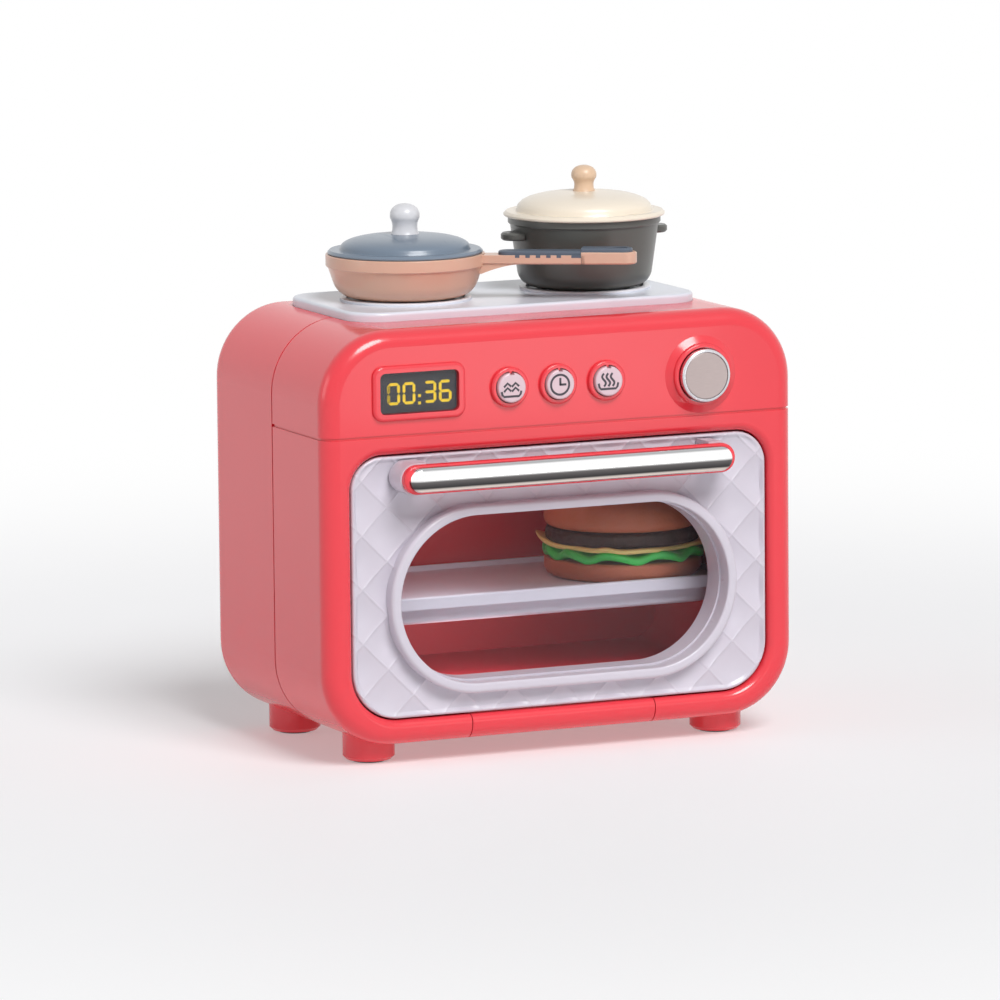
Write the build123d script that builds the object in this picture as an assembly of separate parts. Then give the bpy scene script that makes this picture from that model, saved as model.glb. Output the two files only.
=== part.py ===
from build123d import *
from math import cos, pi, radians, sin, sqrt
import os

os.makedirs("parts", exist_ok=True)

# A play microwave oven with a hob on its roof, a frying pan, a pot and a toy burger.
# All lengths are in millimetres. X runs to the right, Y to the back and Z up.
# The origin is the middle of the overall box, at the surface that the toy stands on.

# Casing
casing_width = 147.5
casing_height = 119.0
casing_depth = 83.2
casing_corner = 21.0
casing_wall = 2.0
front_edge_round = 4.8
back_edge_round = 5.0
front_half_depth = 38.0
seam_groove = 0.6
seam_lip_length = 2.0
seam_lip_wall = 1.0
panel_line_rise = 5.9
panel_line_width = 0.8
panel_line_depth = 0.5
foot_height = 6.0
foot_diameter = 15.0
foot_spacing_x = 110.0
foot_spacing_y = 54.0
foot_pad_diameter = 10.0
foot_pad_thickness = 1.4
foot_pad_proud = 0.6
foot_chamfer = 1.0
foot_pad_chamfer = 0.3

# Working sizes: a reach past the whole toy, and how far joined or cut shapes run past one another
far_out = 200.0
past = 1.0
embed = 0.5

# Clearances: between bodies that move apart, and between pieces that only fit together
move_gap = 0.3
seat_gap = 0.15
door_gap = 0.45
pin_clearance = 0.05

# Door
door_width = 130.2
door_rise = 7.7
door_top_corner = 9.5
door_bottom_corner = 14.0
door_inset = 1.2
door_shell_depth = 6.3
door_inner_depth = 6.2
door_inner_inset = 0.3
door_skin = 2.0
door_screw_post = 5.0
door_screw_collar = 6.4
door_screw_side = 6.5
door_screw_low = 8.5
door_screw_high = 22.0
door_rim_wall = 1.8
door_edge_round = 0.8
bezel_round = 2.2
recess_wall = 1.8
recess_spare = 2.3
quilt_pitch = 15.5
quilt_depth = 0.9

# Window in the door
window_width = 103.0
window_height = 48.3
window_sill = 8.95
window_head = 18.15
window_tube_wall = 1.8
trim_band = 3.0
trim_proud = 3.5
trim_round = 1.2
inner_window_step = 0.5
pane_thickness = 1.2
pane_margin = 3.0
pane_set_in = 3.0

# Hinge under the door
hinge_inset = 1.0
hinge_drop = 3.0
knuckle_length = 57.4
knuckle_back = 11.4
knuckle_tab = 2.2
pocket_back_wall = 1.8
hinge_pin_diameter = 2.0
hinge_pin_grip = 6.0
hinge_block_wall = 1.2
hinge_screw_spacing = 36.0
hinge_screw_post = 5.2
hinge_screw_bite = 4.0

# Handle
handle_x = -1.3
handle_length = 103.7
handle_height = 8.4
handle_drop = 5.8
handle_reach = 12.8
post_length = 7.6
post_grow = 0.4
post_reach = 8.2
backing_thickness = 2.2
bar_length = 100.9
bar_height = 7.3
bar_depth = 3.2
bar_round = 2.2
backing_round = 0.7

# Display
display_x = -44.7
display_frame_width = 28.6
display_frame_height = 15.8
display_frame_proud = 1.2
display_frame_corner = 3.2
display_frame_round = 0.9
display_corner = 1.6
display_width = 24.4
display_height = 11.8
display_lens_set_back = 0.9
display_lens_thickness = 0.8
display_card_thickness = 0.6
display_ledge = 1.6
digit_height = 6.4
digit_width = 4.0
digit_pitch = 4.9
digit_shift = 0.6
digit_stroke = 0.75
digit_relief = 0.2
digit_joint = 0.12
digit_first = 1.68
digit_second = 0.68

# Push buttons
button_middle_x = -1.4
button_pitch = 15.2
button_lower = 0.4
button_diameter = 8.6
button_proud = 2.6
button_travel = 1.2
button_collar_band = 1.2
button_collar_proud = 1.3
button_flange_band = 1.0
button_flange_thickness = 0.9
button_key_width = 0.7
button_key_depth = 0.6
button_round = 0.6

# Start button
start_x = 43.8
start_lower = 0.5
start_diameter = 15.4
start_disc_diameter = 13.6
start_disc_thickness = 0.8
start_proud = 4.5
start_travel = 1.5
start_ring_band = 1.2
start_ring_proud = 1.2
start_slope_band = 2.0
start_slope_rise = 1.3
start_ring_round = 0.7
start_round = 0.7
start_flange_band = 1.2
start_flange_thickness = 1.0
start_stem_diameter = 6.0

# Control board behind the panel
board_width = 116.0
board_low_gap = 2.2
board_thickness = 1.6
board_set_back = 11.0
board_post_diameter = 5.0
board_post_inset = 3.2
board_top_gap = 2.4
pad_base = 1.0
pad_dome_height = 2.5
pad_dome_diameter = 6.4
contact_gap = 0.2
pad_margin = 6.5
pad_height = 13.0
board_corner = 2.0
chip_diameter = 12.0
chip_height = 2.2
chip_x = -18.0
capacitor_diameter = 6.3
capacitor_height = 9.0
capacitor_x = 8.0
header_length = 7.5
header_height = 6.0
header_width = 5.0
header_drop = 5.5
header_xs = (18.0, 30.0, 42.0)

# Screws
screw_shank = 2.5
screw_head = 4.4
screw_head_height = 1.6
screw_boss = 5.6
screw_passage = 7.0
screw_spare = 0.2
drive_width = 0.6
drive_margin = 0.6
screw_head_round = 0.4
screw_bite = 8.0
screw_land = 6.0
boss_corner_offset = 16.9
small_screw_shank = 1.8
small_screw_head = 3.6
small_screw_head_height = 1.2
small_screw_length = 6.5
small_screw_spare = 0.15

# Oven cavity and its shelf
cavity_width = 130.0
cavity_floor_rise = 12.0
cavity_height = 66.0
cavity_depth = 59.4
cavity_corner = 8.0
liner_wall = 1.6
liner_flange = 2.0
rail_width = 3.5
rail_height = 2.0
shelf_rise = 39.0
shelf_side_gap = 1.5
shelf_depth = 56.0
shelf_corner = 7.0
shelf_flange = 3.5
shelf_skirt_height = 4.9
shelf_skirt_inset = 4.0
shelf_rim = 1.4
shelf_recess = 1.5
shelf_floor = 1.6
shelf_edge_round = 0.6
shelf_skirt_round = 1.2

# Lamp in the oven roof
lamp_y = 6.0
lamp_lens_diameter = 9.0
lamp_lens_drop = 2.6
lamp_flange = 1.6
lamp_led_diameter = 5.0
lamp_board_size = 14.0
lamp_board_thickness = 1.2
lamp_post_height = 5.0
lamp_post_diameter = 3.0
lamp_lens_wall = 1.2
lamp_flange_thickness = 1.0
lamp_led_rise = 0.4
lamp_led_collar = 0.4

# Battery compartment in the back
cell_diameter = 14.2
cell_length = 48.6
cell_nub_diameter = 5.4
cell_nub_length = 1.2
cell_end_room = 5.0
bay_height = 30.2
bay_depth = 15.4
bay_wall = 1.8
bay_screw_zone = 8.0
bay_x = -3.0
bay_clear_of_liner = 0.5
contact_thickness = 0.5
contact_width = 11.0
cover_thickness = 2.0
cover_margin = 0.9
cover_gap = 0.25
cover_rib_count = 7
cover_rib_width = 1.2
cover_rib_depth = 0.5
cover_rib_pitch = 3.0
cover_corner = 2.0
cell_round = 0.5
spring_foot_radius = 4.2
spring_tip_radius = 2.6

# Speaker and vents in the back
speaker_x = 48.0
speaker_diameter = 23.0
speaker_depth = 6.0
speaker_slot = 1.6
speaker_slot_pitch = 3.4
speaker_slot_count = 5
speaker_slot_margin = 2.2
speaker_collar_wall = 1.2
speaker_collar_depth = 3.0
speaker_frame_depth = 2.0
speaker_frame_band = 1.5
speaker_magnet_share = 0.55
vent_count = 9
vent_width = 2.4
vent_pitch = 6.0
vent_height = 20.0
vent_rise = 38.0

# Hob plate
hob_width = 109.0
hob_depth = 56.0
hob_thickness = 3.6
hob_corner = 10.0
hob_setback = 19.2
hob_seat_depth = 1.0
burner_spacing = 57.0
burner_shift = 0.9
burner_rings = (38.0, 24.0, 10.0)
burner_ring_band = 1.8
burner_ring_rise = 0.8
hob_edge_round = 1.0

# Frying pan and its lid
pan_rim_diameter = 46.0
pan_height = 12.6
pan_base_diameter = 39.0
pan_base_round = 6.5
pan_wall = 1.4
pan_band_height = 3.6
pan_band_proud = 0.6
pan_handle_angle = -30.0
pan_handle_length = 44.0
pan_handle_width = 7.2
pan_handle_low = 9.65
pan_handle_thickness = 2.6
pan_end_length = 15.8
pan_end_rise = 0.85
pan_gusset_length = 11.4
pan_gusset_drop = 2.8
pan_gusset_bend = 0.35
pan_eye_length = 4.4
pan_eye_width = 2.4
pan_inlay_width = 6.2
pan_inlay_bed = 0.5
pan_inlay_proud = 1.1
pan_inlay_start = 4.0
pan_inlay_end = 1.2
pan_tooth_depth = 0.7
pan_first_tooth = 9.8
pan_inlay_teeth = 5
pan_tooth_width = 1.3
pan_tooth_pitch = 3.0
pan_last_tooth_width = 2.8
pan_lid_diameter = 44.8
pan_lid_rise = 5.5
pan_lid_wall = 1.4
pan_lid_edge = 1.2
pan_knob_diameter = 8.6
pan_knob_height = 8.8
pan_knob_waist = 7.2

# Pot and its lid
pot_rim_diameter = 44.5
pot_height = 20.6
pot_base_diameter = 38.0
pot_base_round = 5.0
pot_wall = 1.4
pot_band_height = 2.2
pot_band_proud = 0.6
pot_ear_reach = 4.0
pot_ear_width = 9.0
pot_ear_thickness = 2.2
pot_ear_drop = 4.0
pot_ear_round = 0.6
pot_lid_diameter = 47.0
pot_lid_rise = 7.0
pot_lid_wall = 1.5
pot_lid_edge = 1.4
pot_knob_diameter = 7.4
pot_knob_height = 7.5
pot_knob_waist = 5.6

# Shapes shared by both lids and both knobs
dome_steps = 6
lid_fullness = 0.8
lid_shoulder_share = 0.84
spigot_drop = 1.6
knob_foot_share = 1.15
knob_neck_share = 0.3
knob_cap_share = 0.5
knob_crown_share = 0.6

# Toy burger
burger_x = 39.0
burger_y = 7.2
bun_diameter = 46.4
bun_bottom_height = 5.6
bun_top_height = 14.0
bun_edge = 2.0
lettuce_diameter = 49.0
lettuce_thickness = 2.8
lettuce_lobes = 11
lettuce_lobe_depth = 1.6
cheese_side = 43.0
cheese_turn = 20.7
cheese_corner = 11.0
cheese_thickness = 1.4
patty_diameter = 46.0
patty_thickness = 4.4
layer_gap = 0.1
bun_bottom_round = 3.0
bun_seam_round = 0.8
lettuce_round = 0.9
cheese_round = 0.4
patty_round = 1.4

# Places that follow from the sizes
overall_depth = casing_depth - door_inset + handle_reach
front_y = handle_reach - door_inset - overall_depth / 2
back_y = front_y + casing_depth
split_y = front_y + front_half_depth
front_half_back_y = split_y - seam_groove / 2
rear_half_front_y = split_y + seam_groove / 2
door_y = front_y + door_inset
shell_back_y = door_y + door_shell_depth
inner_back_y = shell_back_y + door_inner_depth
pane_y = inner_back_y - pane_set_in
recess_back_y = inner_back_y + recess_spare
cavity_back_y = recess_back_y + cavity_depth
casing_bottom = foot_height
casing_top = casing_bottom + casing_height
casing_mid = (casing_bottom + casing_top) / 2
door_bottom = casing_bottom + door_rise
door_height = window_sill + window_height + window_head
door_top = door_bottom + door_height
door_mid = (door_bottom + door_top) / 2
window_z = door_bottom + window_sill + window_height / 2
hinge_y = door_y + hinge_inset
hinge_z = door_bottom - hinge_drop
ledge_top = door_bottom - door_gap
handle_z = door_top - handle_drop
panel_low = door_top + door_gap + recess_wall
panel_mid = (panel_low + casing_top - casing_wall) / 2
panel_line_z = door_top + panel_line_rise
cavity_floor = casing_bottom + cavity_floor_rise
cavity_roof = cavity_floor + cavity_height
cavity_mid = (cavity_floor + cavity_roof) / 2
shelf_top = casing_bottom + shelf_rise
shelf_front_y = recess_back_y + liner_flange + seat_gap
shelf_seat = shelf_top - shelf_flange
hob_bottom = casing_top - hob_seat_depth
hob_top = hob_bottom + hob_thickness
hob_y = front_y + hob_setback + hob_depth / 2
pan_rest = hob_top + burner_ring_rise
pan_x = burner_shift - burner_spacing / 2
pot_x = burner_shift + burner_spacing / 2
display_z = panel_mid
button_z = panel_mid - button_lower
start_z = panel_mid - start_lower
board_y = front_y + board_set_back
board_height = casing_top - casing_wall - board_top_gap - panel_low - board_low_gap
board_z = panel_low + board_low_gap + board_height / 2
bay_width = cell_length + cell_end_room
bay_z = cavity_roof + liner_wall + bay_clear_of_liner + bay_wall + bay_height / 2
speaker_z = bay_z
corner_x = casing_width / 2 - casing_corner
corner_z = casing_height / 2 - casing_corner
boss_x = corner_x + boss_corner_offset * cos(radians(45))
boss_z = corner_z + boss_corner_offset * sin(radians(45))
boss_places = [(sx * boss_x, casing_mid + sz * boss_z) for sx in (-1, 1) for sz in (-1, 1)]


# Helpers

def facing(y):
    """Plane at depth y whose sketches are seen from the front, with local Y up."""
    return Plane(origin=(0, y, 0), x_dir=(1, 0, 0), z_dir=(0, -1, 0))


def slab(sketch, near, far):
    """Front-view sketch made solid from depth near to depth far."""
    return extrude(facing(far) * sketch, amount=far - near)


def rod(x, z, diameter, near, far):
    """Round rod along Y."""
    return slab(Pos(x, z) * Circle(diameter / 2), near, far)


def block(x0, x1, y0, y1, z0, z1):
    """Box between two corners."""
    middle = ((x0 + x1) / 2, (y0 + y1) / 2, (z0 + z1) / 2)
    return Pos(*middle) * Box(x1 - x0, y1 - y0, z1 - z0)


def plate(sketch, low, high):
    """Plan-view sketch made solid from height low to height high."""
    return Pos(0, 0, low) * extrude(sketch, high - low)


def turned(outline):
    """Outline in radius and height turned about the Z axis."""
    return revolve(Plane.XZ * make_face(outline.edges()), Axis.Z)


def front_edges(solid):
    return solid.edges().group_by(Axis.Y)[0]


def back_edges(solid):
    return solid.edges().group_by(Axis.Y)[-1]


def top_edges(solid):
    return solid.edges().group_by(Axis.Z)[-1]


def bottom_edges(solid):
    return solid.edges().group_by(Axis.Z)[0]


def casing_outline(inset=0.0):
    size_x = casing_width - 2 * inset
    size_z = casing_height - 2 * inset
    return Pos(0, casing_mid) * RectangleRounded(size_x, size_z, casing_corner - inset)


def door_outline(grow=0.0):
    """Front view of the door, with larger corners at the bottom."""
    face = Rectangle(door_width + 2 * grow, door_height + 2 * grow)
    face = fillet(face.vertices().group_by(Axis.Y)[-1], door_top_corner + grow)
    face = fillet(face.vertices().group_by(Axis.Y)[0], door_bottom_corner + grow)
    return Pos(0, door_mid) * face


def window_outline(grow=0.0):
    return Pos(0, window_z) * SlotOverall(window_width + 2 * grow, window_height + 2 * grow)


def casing_block():
    """The casing as one solid, with its outer edges rounded."""
    solid = slab(casing_outline(), front_y, back_y)
    solid = fillet(front_edges(solid), front_edge_round)
    return fillet(back_edges(solid), back_edge_round)


def casing_hollow():
    solid = slab(casing_outline(casing_wall), front_y + casing_wall, back_y - casing_wall)
    solid = fillet(front_edges(solid), front_edge_round - casing_wall)
    return fillet(back_edges(solid), back_edge_round - casing_wall)


def screw(shank, head, head_height, length, near_y, x, z):
    """Screw driven from the back, with its head behind depth near_y and a cross in the head."""
    body = rod(x, z, shank, near_y - length, near_y)
    body += fillet(back_edges(rod(x, z, head, near_y, near_y + head_height)), screw_head_round)
    drive = Rectangle(head - 2 * drive_margin, drive_width)
    floor = near_y + head_height / 2
    for turn in (0, 90):
        body -= slab(Pos(x, z) * Rot(0, 0, turn) * drive, floor, near_y + head_height + past)
    return body


def small_screw(near_y, x, z, length=small_screw_length):
    return screw(small_screw_shank, small_screw_head, small_screw_head_height, length, near_y, x, z)


# Casing

def display_frame():
    place = Pos(display_x, display_z)
    face = place * RectangleRounded(display_frame_width, display_frame_height, display_frame_corner)
    frame = slab(face, front_y - display_frame_proud, front_y + embed)
    return fillet(front_edges(frame), display_frame_round)


def button_collar(x):
    diameter = button_diameter + 2 * (move_gap + button_collar_band)
    collar = rod(x, button_z, diameter, front_y - button_collar_proud, front_y + embed)
    return fillet(front_edges(collar), button_round)


def button_xs():
    return [button_middle_x + step * button_pitch for step in (-1, 0, 1)]


def start_surround():
    """Low cone with a round ring on top, about the start button."""
    hole = start_diameter / 2 + move_gap
    ring = hole + start_ring_band
    foot = ring + start_slope_band
    outline = Polyline((0, -embed), (foot, -embed), (foot, 0), (ring, start_slope_rise),
                       (0, start_slope_rise), close=True)
    cone = turned(outline)
    bead = plate(Circle(ring), 0, start_slope_rise + start_ring_proud)
    bead = fillet(top_edges(bead), start_ring_round)
    return Pos(start_x, front_y, start_z) * Rot(90, 0, 0) * (cone + bead)


def hinge_block():
    """Solid stretch of the casing floor that holds the pin and the knuckle's pocket."""
    half = knuckle_length / 2 + move_gap + hinge_pin_grip + hinge_block_wall
    back = hinge_y + knuckle_back + move_gap + pocket_back_wall
    return block(-half, half, front_y + embed, back, casing_bottom, ledge_top)


def hinge_pocket():
    """Room in which the knuckle turns from shut to open."""
    half = knuckle_length / 2 + move_gap
    reach = sqrt((hinge_y - front_y) ** 2 + (hinge_z - casing_bottom) ** 2) + move_gap
    tab_floor = door_bottom + door_inner_inset - knuckle_tab - move_gap
    room = Pos(0, hinge_y, hinge_z) * Rot(0, 90, 0) * Cylinder(reach, 2 * half)
    near = front_y - past
    room += block(-half, half, near, hinge_y, casing_bottom - past, door_bottom)
    room += block(-half, half, near, hinge_y + knuckle_back + move_gap, tab_floor, door_bottom)
    return room


def hinge_pin_solid(grow=0.0):
    length = knuckle_length + 2 * (move_gap + hinge_pin_grip)
    return Pos(0, hinge_y, hinge_z) * Rot(0, 90, 0) * Cylinder(hinge_pin_diameter / 2 + grow, length)


def board_post_places():
    half_x = board_width / 2 - board_post_inset
    half_z = board_height / 2 - board_post_inset
    return [(sx * half_x, board_z + sz * half_z) for sx in (-1, 1) for sz in (-1, 1)]


def hob_outline(grow=0.0):
    size_x = hob_width + 2 * grow
    size_y = hob_depth + 2 * grow
    return Pos(0, hob_y) * RectangleRounded(size_x, size_y, hob_corner + grow)


def hob_seat():
    return plate(hob_outline(seat_gap), hob_bottom, casing_top + past)


def make_front_casing():
    whole = casing_block()
    half = whole & block(-far_out, far_out, front_y - past, front_half_back_y, 0, far_out)
    half -= casing_hollow()
    half -= hob_seat()
    front = front_y + casing_wall
    half += slab(door_outline(door_gap + recess_wall), front - embed, recess_back_y)
    half += hinge_block() & whole
    half -= slab(door_outline(door_gap), front_y - past, recess_back_y + past)
    half = fillet(bezel_edges(half), bezel_round)
    half += display_frame() + [button_collar(x) for x in button_xs()] + start_surround()
    half += [rod(x, z, screw_boss, front - embed, front_half_back_y) for x, z in boss_places]
    half += [rod(x, z, board_post_diameter, front - embed, board_y) for x, z in board_post_places()]
    half -= hinge_pocket() + hinge_pin_solid()
    half -= panel_line(whole)
    half -= display_cut() + start_hole()
    for x in button_xs():
        half -= button_hole(x)
    half -= [rod(x, z, screw_shank, split_y - screw_bite, split_y) for x, z in boss_places]
    half -= [rod(x, z, small_screw_shank, board_y - small_screw_length, board_y + past)
             for x, z in board_post_places()]
    return half


def bezel_edges(half):
    """Front edges of the door opening."""
    rim_x = door_width / 2 + door_gap + embed
    low = door_bottom - door_gap - embed
    high = door_top + door_gap + embed
    return [e for e in front_edges(half) if abs(e.center().X) < rim_x and low < e.center().Z < high]


def panel_line(whole):
    """Shallow groove that parts the control panel from the oven front."""
    half = panel_line_width / 2
    band = block(-far_out, far_out, front_y - past, split_y, panel_line_z - half, panel_line_z + half)
    core = slab(casing_outline(panel_line_depth), front_y + panel_line_depth, split_y)
    core = fillet(front_edges(core), front_edge_round - panel_line_depth)
    return band & (whole - core)


def display_cut():
    place = Pos(display_x, display_z)
    face = RectangleRounded(display_width, display_height, display_corner)
    hole = RectangleRounded(display_width - 2 * display_ledge, display_height - 2 * display_ledge, display_corner)
    pocket = slab(place * face, front_y - display_frame_proud - past, card_back_y())
    return pocket + slab(place * hole, front_y, front_y + casing_wall + past)


def button_hole(x):
    near = front_y - button_collar_proud - past
    far = front_y + casing_wall + past
    hole = rod(x, button_z, button_diameter + 2 * move_gap, near, far)
    key_bottom = button_z + button_diameter / 2 + move_gap - button_key_depth
    half = button_key_width / 2
    return hole - block(x - half, x + half, near, far, key_bottom, button_z + button_diameter)


def start_hole():
    near = front_y - start_slope_rise - start_ring_proud - past
    return rod(start_x, start_z, start_diameter + 2 * move_gap, near, front_y + casing_wall + past)


def seam_lip():
    """Thin lip of the rear half that enters the front half."""
    outer = casing_wall + seat_gap
    inner = outer + seam_lip_wall
    near = front_half_back_y - seam_lip_length
    rear_face = rear_half_front_y
    lip = slab(casing_outline(outer) - casing_outline(inner), near, rear_face + seam_lip_length)
    root = casing_outline(casing_wall - embed) - casing_outline(inner)
    lip += slab(root, rear_face, rear_face + seam_lip_length)
    return lip - [rod(x, z, screw_boss + 2 * seat_gap, near - past, rear_face) for x, z in boss_places]


def cover_outline(grow=0.0):
    size_x = bay_width + 2 * (bay_wall - cover_margin + grow) + bay_screw_zone
    size_z = bay_height + 2 * (bay_wall - cover_margin + grow)
    return Pos(bay_x + bay_screw_zone / 2, bay_z) * RectangleRounded(size_x, size_z, cover_corner + grow)


def speaker_slots():
    radius = speaker_diameter / 2 - speaker_slot_margin
    lowest = -(speaker_slot_count - 1) / 2 * speaker_slot_pitch
    slots = []
    for step in range(speaker_slot_count):
        offset = lowest + step * speaker_slot_pitch
        length = 2 * sqrt(radius ** 2 - offset ** 2)
        slot = Pos(speaker_x, speaker_z + offset) * SlotOverall(length, speaker_slot)
        slots.append(slab(slot, back_y - 2 * casing_wall, back_y + past))
    return slots


def vents():
    first = -(vent_count - 1) / 2 * vent_pitch
    z = casing_bottom + vent_rise
    slots = []
    for step in range(vent_count):
        slot = Pos(first + step * vent_pitch, z) * Rot(0, 0, 90) * SlotOverall(vent_height, vent_width)
        slots.append(slab(slot, back_y - 2 * casing_wall, back_y + past))
    return slots


def make_rear_casing():
    whole = casing_block()
    half = whole & block(-far_out, far_out, rear_half_front_y, back_y + past, 0, far_out)
    half -= casing_hollow()
    half -= hob_seat()
    half += seam_lip() - hob_seat()
    land_y = split_y + screw_land
    for x, z in boss_places:
        half += rod(x, z, screw_passage, front_half_back_y, back_y - embed) & whole
        half -= rod(x, z, screw_shank + 2 * screw_spare, front_half_back_y, land_y + past)
        half -= rod(x, z, screw_head + 2 * screw_spare, land_y, back_y + past)
    inner_wall = back_y - casing_wall
    collar_near = inner_wall - speaker_collar_depth
    bore = speaker_diameter + 2 * seat_gap
    collar = rod(speaker_x, speaker_z, bore + 2 * speaker_collar_wall, collar_near, inner_wall + embed)
    half += collar - rod(speaker_x, speaker_z, bore, collar_near - past, inner_wall)
    half -= slab(cover_outline(cover_gap), back_y - 3 * casing_wall, back_y + past)
    half -= speaker_slots() + vents()
    return half


def make_casing_screws():
    near = split_y + screw_land
    length = screw_land + screw_bite - past
    return [screw(screw_shank, screw_head, screw_head_height, length, near, x, z)
            for x, z in boss_places]


def foot_places():
    return [(sx * foot_spacing_x / 2, sy * foot_spacing_y / 2 + (front_y + back_y) / 2)
            for sx in (-1, 1) for sy in (-1, 1)]


def make_feet():
    whole = casing_block()
    feet = []
    for x, y in foot_places():
        top = casing_bottom + casing_corner / 2
        foot = plate(Pos(x, y) * Circle(foot_diameter / 2), foot_pad_proud, top)
        foot = chamfer(bottom_edges(foot), foot_chamfer)
        foot -= plate(Pos(x, y) * Circle(foot_pad_diameter / 2), 0, foot_pad_thickness)
        feet.append(foot - whole)
    return feet


def make_foot_pads():
    pads = []
    for x, y in foot_places():
        pad = plate(Pos(x, y) * Circle(foot_pad_diameter / 2), 0, foot_pad_thickness)
        pads.append(chamfer(bottom_edges(pad), foot_pad_chamfer))
    return pads


# Oven cavity

def cavity_outline(grow=0.0):
    size_x = cavity_width + 2 * grow
    size_z = cavity_height + 2 * grow
    return Pos(0, cavity_mid) * RectangleRounded(size_x, size_z, cavity_corner + grow)


def make_oven_liner():
    near = recess_back_y
    far = cavity_back_y
    flange = slab(door_outline(door_gap + recess_wall), near, near + liner_flange)
    half = cavity_width / 2
    liner = slab(cavity_outline(liner_wall), near, far + liner_wall) + flange
    liner -= slab(cavity_outline(), near - past, far)
    for side in (-1, 1):
        x_wall = side * (half + liner_wall / 2)
        x_edge = side * (half - rail_width)
        rail = block(min(x_wall, x_edge), max(x_wall, x_edge), near + liner_flange, far,
                     shelf_seat - rail_height, shelf_seat)
        liner += rail
    liner -= [rod(x, z, screw_boss + 2 * seat_gap, near - past, front_half_back_y) for x, z in boss_places]
    liner -= hinge_block()
    top = cavity_roof + liner_wall
    for side in (-1, 1):
        post = Pos(side * lamp_post_offset(), lamp_y) * Circle(lamp_post_diameter / 2)
        liner += plate(post, top - embed, top + lamp_post_height)
    hole = Circle(lamp_lens_diameter / 2 + seat_gap)
    liner -= plate(Pos(0, lamp_y) * hole, cavity_roof - past, top + past)
    return liner


def lamp_post_offset():
    return lamp_lens_diameter / 2 + lamp_flange + lamp_post_diameter / 2 + seat_gap


def make_lamp_lens():
    radius = lamp_lens_diameter / 2
    top = cavity_roof + liner_wall
    plug = plate(Circle(radius), cavity_roof - lamp_lens_drop, top)
    plug = fillet(bottom_edges(plug), lamp_lens_drop - seat_gap)
    plug += plate(Circle(radius + lamp_flange), top, top + lamp_flange_thickness)
    plug -= plate(Circle(radius - lamp_lens_wall), cavity_roof, top + lamp_flange_thickness + past)
    return Pos(0, lamp_y, 0) * plug


def lamp_board_bottom():
    return cavity_roof + liner_wall + lamp_post_height


def make_lamp_led():
    radius = lamp_led_diameter / 2
    high = lamp_board_bottom()
    led = plate(Circle(radius), cavity_roof + lamp_led_rise, high)
    led = fillet(bottom_edges(led), radius - seat_gap)
    led += plate(Circle(radius + lamp_led_collar), high - lamp_flange_thickness, high)
    return Pos(0, lamp_y, 0) * led


def make_lamp_board():
    size = 2 * lamp_post_offset() + lamp_post_diameter
    outline = Pos(0, lamp_y) * RectangleRounded(size, lamp_board_size, lamp_post_diameter / 2)
    return plate(outline, lamp_board_bottom(), lamp_board_bottom() + lamp_board_thickness)


def make_shelf():
    width = cavity_width - 2 * shelf_side_gap
    middle = Pos(0, shelf_front_y + shelf_depth / 2)
    flange = plate(middle * RectangleRounded(width, shelf_depth, shelf_corner), shelf_seat, shelf_top)
    flange = fillet(top_edges(flange), shelf_edge_round)
    skirt_x = width - 2 * shelf_skirt_inset
    skirt_y = shelf_depth - 2 * shelf_skirt_inset
    skirt_bottom = shelf_seat - shelf_skirt_height
    skirt = plate(middle * RectangleRounded(skirt_x, skirt_y, shelf_corner), skirt_bottom, shelf_seat)
    skirt = fillet(bottom_edges(skirt), shelf_skirt_round)
    hollow = plate(middle * RectangleRounded(skirt_x - 2 * shelf_floor, skirt_y - 2 * shelf_floor,
                                             shelf_corner - shelf_floor),
                   skirt_bottom - past, shelf_top - shelf_recess - shelf_floor)
    recess = plate(middle * RectangleRounded(width - 2 * shelf_rim, shelf_depth - 2 * shelf_rim,
                                             shelf_corner - shelf_rim),
                   shelf_top - shelf_recess, shelf_top + past)
    return flange + skirt - hollow - recess


# Door

def quilt_dishes():
    """Shallow round dishes, one for each diamond of a lattice centred on the door."""
    half = quilt_pitch / 2
    radius = (half ** 2 + quilt_depth ** 2) / (2 * quilt_depth)
    side = half * sqrt(2)
    cell = extrude(Rot(0, 0, 45) * Rectangle(side, side), amount=2 * quilt_depth, both=True)
    dish = cell & Pos(0, 0, radius - quilt_depth) * Sphere(radius)
    columns = int(door_width / quilt_pitch) + 1
    rows = int(door_height / quilt_pitch) + 1
    inner = window_height / 2 + trim_band
    straight = (window_width - window_height) / 2
    dishes = []
    for column in range(-columns, columns + 1):
        for row in range(-rows, rows + 1):
            x = column * half
            z = door_mid + row * half
            past_end = max(0, abs(x) - straight)
            under_trim = sqrt(past_end ** 2 + (z - window_z) ** 2) < inner - half
            if (column + row) % 2 == 0 or under_trim:
                continue
            dishes.append(Pos(x, door_y, z) * Rot(90, 0, 0) * dish)
    return dishes


def door_screw_places():
    x = door_width / 2 - door_screw_side
    heights = (door_bottom + door_screw_low, door_top - door_screw_high)
    return [(side * x, z) for side in (-1, 1) for z in heights]


def post_xs():
    return [handle_x + side * (handle_length - post_length) / 2 for side in (-1, 1)]


def window_trim():
    """Raised band about the window, rounded on both sides."""
    trim = slab(window_outline(trim_band), door_y - trim_proud, door_y + door_skin)
    trim = fillet(front_edges(trim), trim_round)
    trim -= slab(window_outline(), door_y - trim_proud - past, door_y + door_skin + past)
    return fillet(front_edges(trim), trim_round / 2)


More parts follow.
